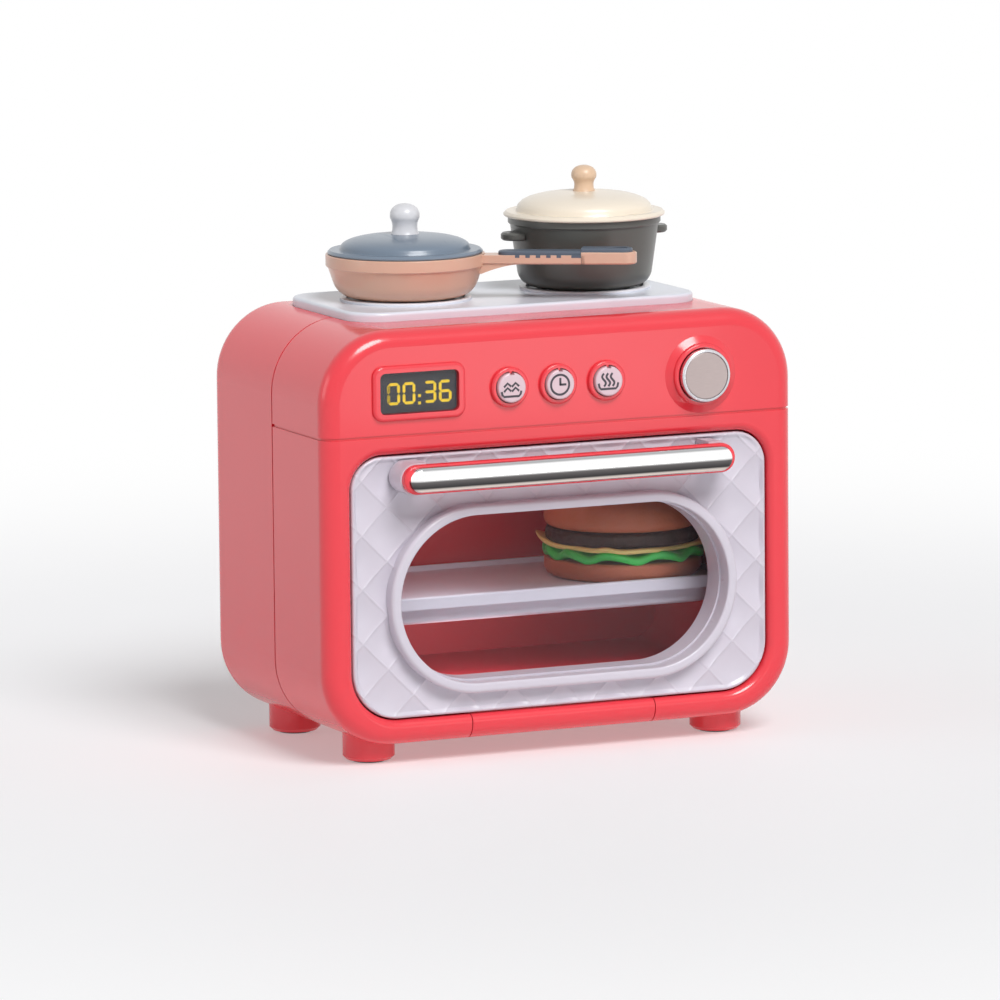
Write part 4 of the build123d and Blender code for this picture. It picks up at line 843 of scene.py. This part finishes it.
def digit_outlines(lit, x, z):
    half_w, half_h = (digit_size[0] - digit_stroke) / 2, (digit_size[1] - digit_stroke) / 2
    bars = {"a": (0, half_h), "g": (0, 0), "d": (0, -half_h)}
    uprights = {"b": (half_w, half_h / 2), "c": (half_w, -half_h / 2), "e": (-half_w, -half_h / 2),
                "f": (-half_w, half_h / 2)}
    for name in lit:
        upright = name in uprights
        dx, dz = uprights[name] if upright else bars[name]
        yield digit_bar((half_h if upright else 2 * half_w) - digit_gap, x + dx, z + dz, upright)


def tray(rim, low):
    return [(-3.3, rim), (-3.05, low + 0.6), (-2.5, low), (2.5, low), (3.05, low + 0.6), (3.3, rim)]


def grill_icon():
    peaks = [[(x - 1.2, z - 1.15), (x, z), (x + 1.2, z - 1.05)] for z in (1.5, 0.05) for x in (-1.3, 1.35)]
    return peaks + [tray(-1.0, -2.6)]


def timer_icon():
    ring = [(dial_radius * cos(turn), dial_radius * sin(turn)) for turn in turns(0, 360, 60)]
    return [ring, [(0.1, 2.1), (0.1, -0.15)], [(-0.15, 0), (2.1, 0)]]


def steam_icon():
    waves = [[(x - 0.6 * sin(pi * i / 10), 2.5 - 0.2 * i) for i in range(21)]
             for x in (-1.5, -0.05, 1.4)]
    return waves + [tray(-0.5, -2.3)]


class TOYOVEN_OT_panel(bpy.types.Operator):
    """Builds the clock reading, the drawings on the push buttons and the start button"""
    bl_idname = "toy_oven.panel"
    bl_label = "Control panel"

    def execute(self, context):
        low, high, middle = node_box("display_digits")
        outlines = []
        for place, lit in zip(digit_places, reading):
            outlines += digit_outlines(lit, middle.x + place * digit_pitch, middle.z - digits_drop)
        half = digit_stroke / 2
        for side in (-1, 1):
            z = middle.z - digits_drop - colon_drop + side * colon_half_gap
            outlines.append([(middle.x + u * half, z + v * half)
                             for u, v in ((-1, -1), (1, -1), (1, 1), (-1, 1))])
        bars = [mesh_of_loops("bar", [front_points(outline, low.y), front_points(outline, high.y)])
                for outline in outlines]
        add_piece("clock_reading", joined("clock_reading", bars), "oven_body", "Digits", "display_digits")
        for name, icon in (("grill", grill_icon), ("timer", timer_icon), ("steam", steam_icon)):
            low, high, middle = node_box("button_" + name)
            lines = [[(middle.x + icon_shift + x * icon_scale, middle.z + z * icon_scale) for x, z in line]
                     for line in icon()]
            strokes = [ribbon(line, toy().panel.icon_stroke / MM, low.y, icon_rise) for line in lines]
            add_piece(name + "_icon", joined(name + "_icon", strokes), name + "_button", "Icons",
                      slot="display_card")
        self.start_button()
        return {"FINISHED"}

    def start_button(self):
        low, high, self.middle = node_box("start_button")
        disc_low, disc_high, _ = node_box("start_button_disc")
        disc = (disc_high.x - disc_low.x) / 2
        flange, seat = (high.x - low.x) / 2, low.y + flange_depth
        profile = [(stem_radius, high.y), (stem_radius, seat + flange_thickness),
                   (flange, seat + flange_thickness), (flange, seat), (cap_radius, seat)]
        profile += [(cap_radius - inset, low.y + drop) for inset, drop in rounding(cap_round, 6)]
        profile += [(disc + disc_bevel, low.y), (disc, low.y + disc_bevel), (disc, disc_high.y)]
        self.spun("start_cap", profile, "Bright metal", "start_button")
        inner = disc - disc_play
        profile = [(inner, disc_high.y), (inner, low.y + 0.3), (inner - 0.2, low.y + 0.12),
                   (inner * 0.6, low.y + 0.16), (0.5, low.y + 0.18)]
        self.spun("start_disc", profile, "Start disc", "start_button_disc")

    def spun(self, name, profile, look, replaced):
        x, z = self.middle.x, self.middle.z
        loops = [front_points(circle_loop(radius), y, x, z) for radius, y in profile]
        add_piece(name, mesh_of_loops(name, loops), "start_button", look, replaced)


# Cookware: sizes that the lathed pieces share with the CAD, in millimetres
pan_sizes = {"rim": 46.0, "height": 12.6, "base": 39.0, "round": 6.5, "band": 3.6}
pot_sizes = {"rim": 44.5, "height": 20.6, "base": 38.0, "round": 5.0, "band": 2.2}
pan_lid_sizes = {"diameter": 44.8, "rise": 5.5, "wall": 1.4, "edge": 1.2}
pot_lid_sizes = {"diameter": 47.0, "rise": 7.0, "wall": 1.5, "edge": 1.4}
pan_knob_sizes = {"diameter": 8.6, "height": 8.8, "waist": 7.2}
pot_knob_sizes = {"diameter": 7.4, "height": 7.5, "waist": 5.6}
vessel_wall = 1.4
band_proud = 0.6
lip_round = 0.3
lid_shoulder_share = 0.84
lid_fullness = 0.8
spigot_drop = 1.6
spigot_play = 0.3
handle_angle = -30.0
handle_length = 44.0
handle_width = 7.2
handle_low = 9.65
handle_thickness = 2.6
end_length = 15.8
end_rise = 0.85
gusset_length = 11.4
gusset_drop = 2.8
eye_size = (4.4, 2.4)
strip_width = 6.2
strip_start = 4.0
strip_end = 1.2
strip_proud = 1.1
strip_bed = 0.5
tooth_depth = 0.7
first_tooth = 9.8
tooth_pitch = 3.0
tooth_width = 1.3
tooth_count = 5
tooth_play = 0.03
last_tooth_width = 2.8
handle_edge = 0.35
strip_edge = 0.3
web_inset = 0.5
ear_reach = 4.0
ear_width = 9.0
ear_thickness = 2.2
ear_drop = 4.0
ear_edge = 0.5
pan_rim = pan_sizes["rim"] / 2
handle_root = pan_rim - band_proud - vessel_wall / 2
handle_end = pan_rim + handle_length
handle_step = handle_end - end_length
handle_top = handle_low + handle_thickness


def base_bend(base, side, rim, radius, lift=0.0):
    """Rounded corner between a vessel's flat base and its leaning side, as (radius, height)."""
    lean = atan2(rim, side - base)
    reach = radius / tan((pi - lean) / 2)
    return arc(base - reach, radius + lift, radius, radius, -90, degrees(lean) - 90, 12)


def vessel_profile(rim, height, base, round, band):
    side, foot, low = rim / 2 - band_proud, base / 2, height - band
    edge = rim / 2
    outer = [(0, 0)] + base_bend(foot, side, low, round)
    outer += [(side, low), (edge - lip_round, low), (edge, low + lip_round)]
    outer += arc(edge - lip_round, height - lip_round, lip_round, lip_round, 0, 90, 4)
    inner = [(0, vessel_wall)]
    inner += base_bend(foot - vessel_wall, side - vessel_wall, low, round - vessel_wall / 2, vessel_wall)
    inner += [(side - vessel_wall, low)]
    inner += arc(side - vessel_wall + lip_round, height - lip_round, lip_round, lip_round, 180, 90, 4)
    return outer + inner[::-1]


def lid_profile(diameter, rise, wall, edge, spigot):
    """Lid turned about its middle: hollow below, with a flat flange and a dome with square shoulders."""
    radius = diameter / 2
    shoulder = radius * lid_shoulder_share
    inside = min(shoulder, spigot) - wall
    hollow = arc(0, edge / 2, inside, rise - wall - edge / 2, 90, 0, 14, lid_fullness)
    flange = [(spigot - wall, -spigot_drop), (spigot, -spigot_drop), (spigot, 0), (radius - lip_round, 0),
              (radius, lip_round), (radius, edge / 2), (radius - edge / 2, edge),
              (shoulder + lip_round, edge)]
    crown = arc(0, edge, shoulder, rise - edge, 4, 90, 22, lid_fullness)
    return [(0, hollow[0][1])] + hollow[1:] + flange + crown[:-1] + [(0, rise)]


def knob_profile(diameter, height, waist):
    radius, neck = diameter / 2, waist / 2
    body = [(0, 0), (neck * 1.15, 0), (neck * 1.12, 0.25), (neck * 1.02, height * 0.12),
            (neck, height * 0.26)]
    body += [(neck + (radius - neck) * share, height * (0.3 + 0.24 * share ** 0.7))
             for share in (0.15, 0.4, 0.7, 0.92)]
    return body + arc(0, height * 0.6, radius, height * 0.4, 0, 88, 14, 0.9) + [(0, height)]


def arm_loop(start, end, half, inset=0.0):
    """Plan of the handle: square at its start and round at its tip."""
    tip = half - 0.15
    points = [(start, -half + inset)]
    points += [(end - tip + (tip - inset) * cos(turn), (half - inset) * sin(turn))
               for turn in turns(-90, 90, 18)]
    return points + [(start, half - inset)]


def eye_loop(outline, centre):
    """Point of the eye's edge nearest to each point of an outline round it."""
    straight, radius = (eye_size[0] - eye_size[1]) / 2, eye_size[1] / 2
    points = []
    for x, y in outline:
        middle = Vector((centre + max(-straight, min(straight, x - centre)), 0))
        spot = middle + (Vector((x, y)) - middle).normalized() * radius
        points.append((spot.x, spot.y))
    return points


def rectangle(x0, x1, half):
    return [(x0, -half), (x1, -half), (x1, half), (x0, half)]


def stack(levels, outline, base=0.0, x=0.0, y=0.0):
    """Plan outlines that depend on an inset, at levels given as (inset, height)."""
    return [plan_points(outline(inset), base + z, x, y) for inset, z in levels]


def pierced_end(end, half, levels):
    """Round end of the handle or of its strip, as a ring of loops round the eye."""
    eye = eye_loop(arm_loop(handle_step, end, half), handle_end - handle_width / 2 - strip_end)
    loops = stack(levels, lambda inset: arm_loop(handle_step, end, half, inset))
    loops += [plan_points(eye, levels[-1][1]), plan_points(eye, levels[0][1])]
    return mesh_of_loops("end", loops, ring=True)


class TOYOVEN_OT_cookware(bpy.types.Operator):
    """Builds the frying pan, the pot, their lids and their knobs"""
    bl_idname = "toy_oven.cookware"
    bl_label = "Cookware"

    def execute(self, context):
        rest = self.begin("pan", "frying_pan")
        bowl = lathe("bowl", vessel_profile(**pan_sizes), *self.place, rest)
        turn = Matrix.Rotation(radians(handle_angle), 4, "Z")
        to_pan = Matrix.Translation(Vector((*self.place, rest)) * MM) @ turn
        arm, strip = joined("arm", self.handle_meshes()), joined("grip_strip", self.strip_meshes())
        arm.transform(to_pan)
        strip.transform(to_pan)
        add_piece("pan", joined("pan", [bowl, arm]), "frying_pan", "Pan", "frying_pan")
        add_piece("grip_strip", strip, "frying_pan", "Grip", "pan_handle_inlay")
        self.lid("pan", pan_sizes, pan_lid_sizes, pan_knob_sizes)
        rest = self.begin("pot", "pot")
        pot = lathe("pot", vessel_profile(**pot_sizes), *self.place, rest)
        add_piece("pot_body", joined("pot_body", [pot] + self.ears(rest)), "pot", "Pot", "pot")
        self.lid("pot", pot_sizes, pot_lid_sizes, pot_knob_sizes)
        return {"FINISHED"}

    def begin(self, name, vessel):
        """Keeps a vessel's axis, which is its lid's, and gives the height that it stands at."""
        middle = node_box(name + "_lid")[2]
        self.place = (middle.x, middle.y)
        return node_box(vessel)[0].z

    def lid(self, name, vessel, cover, knob):
        body = name + "_lid"
        spigot = vessel["rim"] / 2 - band_proud - vessel_wall - spigot_play
        low, knob_low = node_box(body)[0].z + spigot_drop, node_box(body + "_knob")[0].z
        for kind, look, replaced, profile, base, sharp in (
                ("_cover", " lid", body, lid_profile(**cover, spigot=spigot), low, 28),
                ("_knob", " knob", body + "_knob", knob_profile(**knob), knob_low, 50)):
            mesh = lathe(name + kind, profile, *self.place, base, sharp)
            add_piece(name + kind, mesh, body, name.capitalize() + look, replaced)

    def handle_meshes(self):
        half, high, edge = handle_width / 2, handle_top + end_rise, handle_edge
        feet = ((edge, handle_low), (0, handle_low + edge))
        beam = stack(feet + ((0, handle_top - edge / 2), (edge / 2, handle_top)),
                     lambda inset: rectangle(handle_root, handle_step + 1, half - inset))
        start = pan_rim - band_proud
        curve = [(start + gusset_length * i / 10, handle_low - gusset_drop * (1 - i / 10) ** 1.7)
                 for i in range(11)]
        curve += [(start + gusset_length, handle_low + 0.5), (handle_root, handle_low + 0.5),
                  (handle_root, handle_low - gusset_drop)]
        web = [front_points(curve, side * (half - web_inset)) for side in (-1, 1)]
        return [mesh_of_loops("beam", beam),
                pierced_end(handle_end, half, feet + ((0, high - edge), (edge, high))),
                mesh_of_loops("web", web)]

    def strip_meshes(self):
        x0, x1, half, edge = pan_rim + strip_start, handle_end - strip_end, strip_width / 2, strip_edge
        top, high = handle_top + strip_proud, handle_top + end_rise + strip_proud
        beam = stack(((0, handle_top - strip_bed), (0, top - edge), (edge, top)),
                     lambda inset: [(x0 + x1 - x, y) for x, y in
                                    arm_loop(x0 + x1 - handle_step - 1, x1, half, inset)])
        spans = [(pan_rim + first_tooth + i * tooth_pitch - tooth_width / 2,
                  pan_rim + first_tooth + i * tooth_pitch + tooth_width / 2) for i in range(tooth_count)]
        spans.append((handle_step - last_tooth_width, handle_step))
        levels = ((0, handle_top - tooth_depth), (0, handle_top + tooth_play))
        teeth = [mesh_of_loops("tooth", stack(levels, lambda inset: rectangle(
            *span, handle_width / 2 + tooth_play))) for span in spans]
        return [mesh_of_loops("strip", beam),
                pierced_end(x1, half, ((0, handle_top), (0, high - edge), (edge, high)))] + teeth

    def ears(self, rest):
        rim, top = pot_sizes["rim"] / 2, pot_sizes["height"] - ear_drop
        low = top - ear_thickness
        levels = ((ear_edge, low), (0, low + ear_edge), (0, top - ear_edge), (ear_edge, top))
        root = rim - band_proud - vessel_wall / 2
        made = []
        for side in (-1, 1):
            loops = stack(levels, lambda inset: [(side * x, y) for x, y in arm_loop(
                root, rim + ear_reach, ear_width / 2, inset)], rest, *self.place)
            made.append(mesh_of_loops("ear", loops))
        return made


# Burger
cheese_bump_angle = 234.0
cheese_bump_width = 7.5
cheese_bump_rise = 1.0
cheese_curl_angle = 156.0
cheese_curl_width = 22.0
cheese_curl_rise = 2.4
cheese_edge_rise = 0.45
cheese_turned = radians(20.7)
cheese_side = 45.0
cheese_corner = 15.5
cheese_spacing = 0.9
leaf_half = 1.25
patty_round = 1.5
heel_round = 3.0
heel_top_round = 1.0
crown_low = 2.2


class TOYOVEN_OT_burger(bpy.types.Operator):
    """Builds the layers of the toy burger"""
    bl_idname = "toy_oven.burger"
    bl_label = "Burger"

    def execute(self, context):
        self.bun("bun_bottom")
        self.lettuce()
        self.cheese()
        self.patty()
        self.bun("bun_top")
        return {"FINISHED"}

    def spot(self, name):
        low, high, _ = node_box(name)
        return (low.x + high.x) / 2, (low.y + high.y) / 2, low.z, (high.x - low.x) / 2, high.z - low.z

    def uneven(self, seed, size):
        """Slight unevenness round a layer's edge."""
        def wave(turn, place):
            here = Vector((cos(turn) * 1.5, sin(turn) * 1.5, seed + place * 0.25))
            return -size * (0.5 + 0.5 * noise.noise(here)), 0.0
        return wave

    def round_slice(self, radius, height, low_round, high_round, side=()):
        return [(0, 0), *arc(radius - low_round, low_round, low_round, low_round, -90, 0), *side,
                *arc(radius - high_round, height - high_round, high_round, high_round, 0, 90), (0, height)]

    def bun(self, name):
        x, y, low, radius, height = self.spot(name)
        if name == "bun_top":
            profile = [(0, 0), (radius - 2.6, 0), (radius - 1.3, 0.25), (radius - 0.4, 0.9)]
            profile += arc(0, crown_low, radius, height - crown_low, 0, 87, 26, 0.86) + [(0, height)]
        else:
            profile = self.round_slice(radius, height, heel_round, heel_top_round)
        mesh = lathe(name + "_bread", profile, x, y, low, 50, self.uneven(len(name), 0.25))
        add_piece(name + "_bread", mesh, "burger", "Bun", name)

    def patty(self):
        x, y, low, radius, height = self.spot("patty")
        profile = self.round_slice(radius, height, patty_round, patty_round,
                                   ((radius, height * 0.45), (radius, height * 0.55)))
        mesh = lathe("patty_meat", profile, x, y, low, 60, self.uneven(9, 0.7))
        add_piece("patty_meat", mesh, "burger", "Patty", "patty")

    def lettuce(self):
        x, y, low, radius, height = self.spot("lettuce")
        middle = height / 2
        swing, waves = toy().burger.ruffle_height / MM, toy().burger.ruffles
        shares = (0.6, 0.78, 0.86, 0.92)
        profile = [(0, middle - leaf_half), *((radius * share, middle - leaf_half) for share in shares),
                   *arc(radius - leaf_half, middle, leaf_half, leaf_half, -90, 90, 8),
                   *((radius * share, middle + leaf_half) for share in shares[::-1]),
                   (0, middle + leaf_half)]

        def ruffle(turn, place):
            share = profile[place][0] / radius
            edge = max(0.0, (share - 0.7) / 0.3)
            phase = waves * turn + 0.9 * sin(2 * turn + 0.6)
            fold = sin(phase) + 0.15 * sin(2 * phase + 0.8)
            return -edge * 0.9 * (0.5 + 0.5 * cos(phase + 0.5)), edge * (0.3 + swing * fold)

        mesh = lathe("lettuce_leaf", profile, x, y, low, 60, ruffle)
        add_piece("lettuce_leaf", mesh, "burger", "Lettuce", "lettuce")

    def cheese(self):
        x, y, low, _, thickness = self.spot("cheese")
        outline = []
        flat = cheese_side / 2 - cheese_corner
        for quarter, (sign_x, sign_y) in enumerate(((1, 1), (-1, 1), (-1, -1), (1, -1))):
            for turn in turns(90 * quarter, 90 * quarter + 90, 12):
                u = sign_x * flat + cheese_corner * cos(turn)
                v = sign_y * flat + cheese_corner * sin(turn)
                outline.append((u * cos(cheese_turned) - v * sin(cheese_turned),
                                u * sin(cheese_turned) + v * cos(cheese_turned)))
        closed = outline + outline[:1]
        fine = []
        for here, after in zip(closed, closed[1:]):
            cuts = max(1, ceil(dist(here, after) / cheese_spacing))
            fine += [tuple(a + (b - a) * i / cuts for a, b in zip(here, after)) for i in range(cuts)]

        def sheet(share, lift):
            loop = []
            for u, v in fine:
                angle = degrees(atan2(v, u)) % 360
                rise = cheese_edge_rise * share ** 8
                for at, width, height in ((cheese_bump_angle, cheese_bump_width, cheese_bump_rise),
                                          (cheese_curl_angle, cheese_curl_width, cheese_curl_rise)):
                    off = (angle - at + 180) % 360 - 180
                    rise += height * exp(-(off / width) ** 2) * share ** 10
                rise += 0.18 * share ** 4 * sin(radians(angle) * 7 + 1)
                loop += plan_points([(u * share, v * share)], low + lift + rise, x, y)
            return loop

        shares = (0.05, 0.4, 0.7, 0.85, 0.93, 0.98)
        loops = [sheet(share, 0.0) for share in shares]
        loops += [sheet(1.0, thickness * 0.3), sheet(1.0, thickness * 0.7)]
        loops += [sheet(share, thickness) for share in reversed(shares)]
        mesh = mesh_of_loops("cheese_slice", loops, sharp=70)
        add_piece("cheese_slice", mesh, "burger", "Cheese", "cheese")


# Stage: where the camera stands, in millimetres and degrees
camera_target = Vector((-25.02, -47.6, 76.42)) * MM
camera_azimuth = -24.3433
camera_elevation = 8.3671
camera_roll = -0.5443
camera_distance = 2.24793
camera_sensor = 36.0
camera_lens = 7.94727 * camera_sensor
floor_half = 6.0
floor_plain = 0.15
floor_white = 0.65
floor_glow = 0.3
sky_left = 0.2
sky_right = 0.12


class TOYOVEN_OT_stage(bpy.types.Operator):
    """Builds the floor, the lamps and the camera"""
    bl_idname = "toy_oven.stage"
    bl_label = "Stage"

    def execute(self, context):
        scene = context.scene
        scene.view_settings.view_transform = "Standard"
        self.add_camera(scene)
        self.add_lamps(scene)
        self.add_world(scene)
        self.add_floor(scene)
        return {"FINISHED"}

    def add_camera(self, scene):
        azimuth, elevation, roll = (radians(angle) for angle in (
            camera_azimuth, camera_elevation, camera_roll))
        back = Vector((sin(azimuth) * cos(elevation), -cos(azimuth) * cos(elevation),
                       sin(elevation)))
        right = Vector((cos(azimuth), sin(azimuth), 0))
        up = back.cross(right)
        turned_right = right * cos(roll) + up * sin(roll)
        turned_up = up * cos(roll) - right * sin(roll)
        data = bpy.data.cameras.new("camera")
        data.lens = camera_lens
        data.sensor_width = camera_sensor
        data.clip_start = 0.05
        data.clip_end = 20
        camera = bpy.data.objects.new("camera", data)
        scene.collection.objects.link(camera)
        place = Matrix((turned_right, turned_up, back)).transposed().to_4x4()
        place.translation = camera_target + back * camera_distance
        camera.matrix_world = place
        scene.camera = camera

    def add_lamps(self, scene):
        lamps = (("sun", "SUN", (0.05, -0.85, 1.0), (0, 0, 0.07), 0.5, 2.75),
                 ("panel_sheen", "AREA", (0.198, -0.5, 0.056), (-0.21, 0.401, 0.2015), (0.135, 0.06), 0.05),
                 ("strip", "AREA", (-1.1, 0.1, 0.4), (0, 0, 0.07), (0.5, 0.5), 1.2),
                 ("above_shelf", "AREA", (-0.03, -0.0165, 0.065), (-0.03, 0.1, 0.04), (0.028, 0.028),
                  0.006),
                 ("below_shelf", "AREA", (-0.02, -0.0155, 0.027), (-0.02, 0.1, 0.01), (0.03, 0.012),
                  0.009))
        for name, kind, place, target, size, power in lamps:
            data = bpy.data.lights.new(name, kind)
            data.energy = power
            if kind == "SUN":
                data.angle = size
            else:
                data.shape = "RECTANGLE"
                data.size, data.size_y = size
            lamp = bpy.data.objects.new(name, data)
            lamp.location = place
            aim = Vector(target) - Vector(place)
            lamp.visible_camera = False
            lamp.rotation_euler = aim.to_track_quat("-Z", "Y").to_euler()
            scene.collection.objects.link(lamp)

    def add_world(self, scene):
        world = bpy.data.worlds.new("studio")
        scene.world = world
        world.use_nodes = True
        tree = world.node_tree
        tree.nodes.clear()
        out = node(tree, "ShaderNodeOutputWorld")
        soft = node(tree, "ShaderNodeBackground")
        set_inputs(soft, Color=(0.95, 0.96, 1.0, 1))
        place = node(tree, "ShaderNodeSeparateXYZ")
        wire(node(tree, "ShaderNodeTexCoord").outputs["Generated"], place.inputs["Vector"])
        wire(remap(tree, place.outputs["X"], sky_left, sky_right, -1.0, 1.0),
             soft.inputs["Strength"])
        seen = node(tree, "ShaderNodeBackground")
        set_inputs(seen, Color=(1, 1, 1, 1))
        path = node(tree, "ShaderNodeLightPath")
        pick = node(tree, "ShaderNodeMixShader")
        shine = math_node(tree, "MAXIMUM", path.outputs["Is Glossy Ray"],
                          path.outputs["Is Transmission Ray"])
        wire(math_node(tree, "MAXIMUM", path.outputs["Is Camera Ray"], shine),
             pick.inputs["Fac"])
        wire(soft.outputs[0], pick.inputs[1])
        wire(seen.outputs[0], pick.inputs[2])
        wire(pick.outputs[0], out.inputs["Surface"])
        arrange(tree)

    def add_floor(self, scene):
        mesh = bpy.data.meshes.new("floor")
        half = floor_half
        mesh.from_pydata([(-half, -half, 0), (half, -half, 0), (half, half, 0), (-half, half, 0)], [],
                         [(0, 1, 2, 3)])
        ground = bpy.data.objects.new("floor", mesh)
        scene.collection.objects.link(ground)
        material = moulded("Floor", scene.toy_oven.stage.floor, 0.6, drift=0.0, scuffs=0.0)
        tree = material.node_tree
        reach = node(tree, "ShaderNodeVectorMath", operation="LENGTH")
        wire(object_place(tree), reach.inputs[0])
        far = remap(tree, reach.outputs["Value"], floor_glow, 1.0, floor_plain, floor_white)
        far.node.interpolation_type = "SMOOTHERSTEP"
        white = node(tree, "ShaderNodeEmission")
        pick = node(tree, "ShaderNodeMixShader")
        wire(far, pick.inputs["Fac"])
        wire(node_of(tree, "BSDF_PRINCIPLED").outputs["BSDF"], pick.inputs[1])
        wire(white.outputs[0], pick.inputs[2])
        wire(pick.outputs[0], node_of(tree, "OUTPUT_MATERIAL").inputs["Surface"])
        arrange(tree)
        mesh.materials.append(material)


class TOYOVEN_PT_panel(bpy.types.Panel):
    """Lists the toy's pieces and their sizes and colours"""
    bl_idname = "TOYOVEN_PT_panel"
    bl_label = "Toy Oven"
    bl_space_type = "VIEW_3D"
    bl_region_type = "UI"
    bl_category = "Toy Oven"

    def draw(self, context):
        settings = context.scene.toy_oven
        for part in settings.bl_rna.properties:
            if part.identifier in ("rna_type", "name"):
                continue
            box = self.layout.box()
            box.label(text=part.identifier.capitalize())
            for entry in part.fixed_type.properties:
                if entry.identifier not in ("rna_type", "name"):
                    box.prop(getattr(settings, part.identifier), entry.identifier)
        for name in pieces:
            self.layout.operator("toy_oven." + name)


pieces = ("nodes", "door", "handle", "panel", "cookware", "burger", "stage")
classes = (CasingSettings, DoorSettings, PanelSettings, CookwareSettings, BurgerSettings, StageSettings,
           ToyOvenSettings, TOYOVEN_OT_nodes, TOYOVEN_OT_door, TOYOVEN_OT_handle, TOYOVEN_OT_panel,
           TOYOVEN_OT_cookware, TOYOVEN_OT_burger, TOYOVEN_OT_stage, TOYOVEN_PT_panel)


def register():
    for item in classes:
        bpy.utils.register_class(item)
    bpy.types.Scene.toy_oven = PointerProperty(type=ToyOvenSettings)


def unregister():
    del bpy.types.Scene.toy_oven
    for item in reversed(classes):
        bpy.utils.unregister_class(item)


def main():
    register()
    for name in pieces:
        getattr(bpy.ops.toy_oven, name)()


if __name__ == "__main__":
    main()
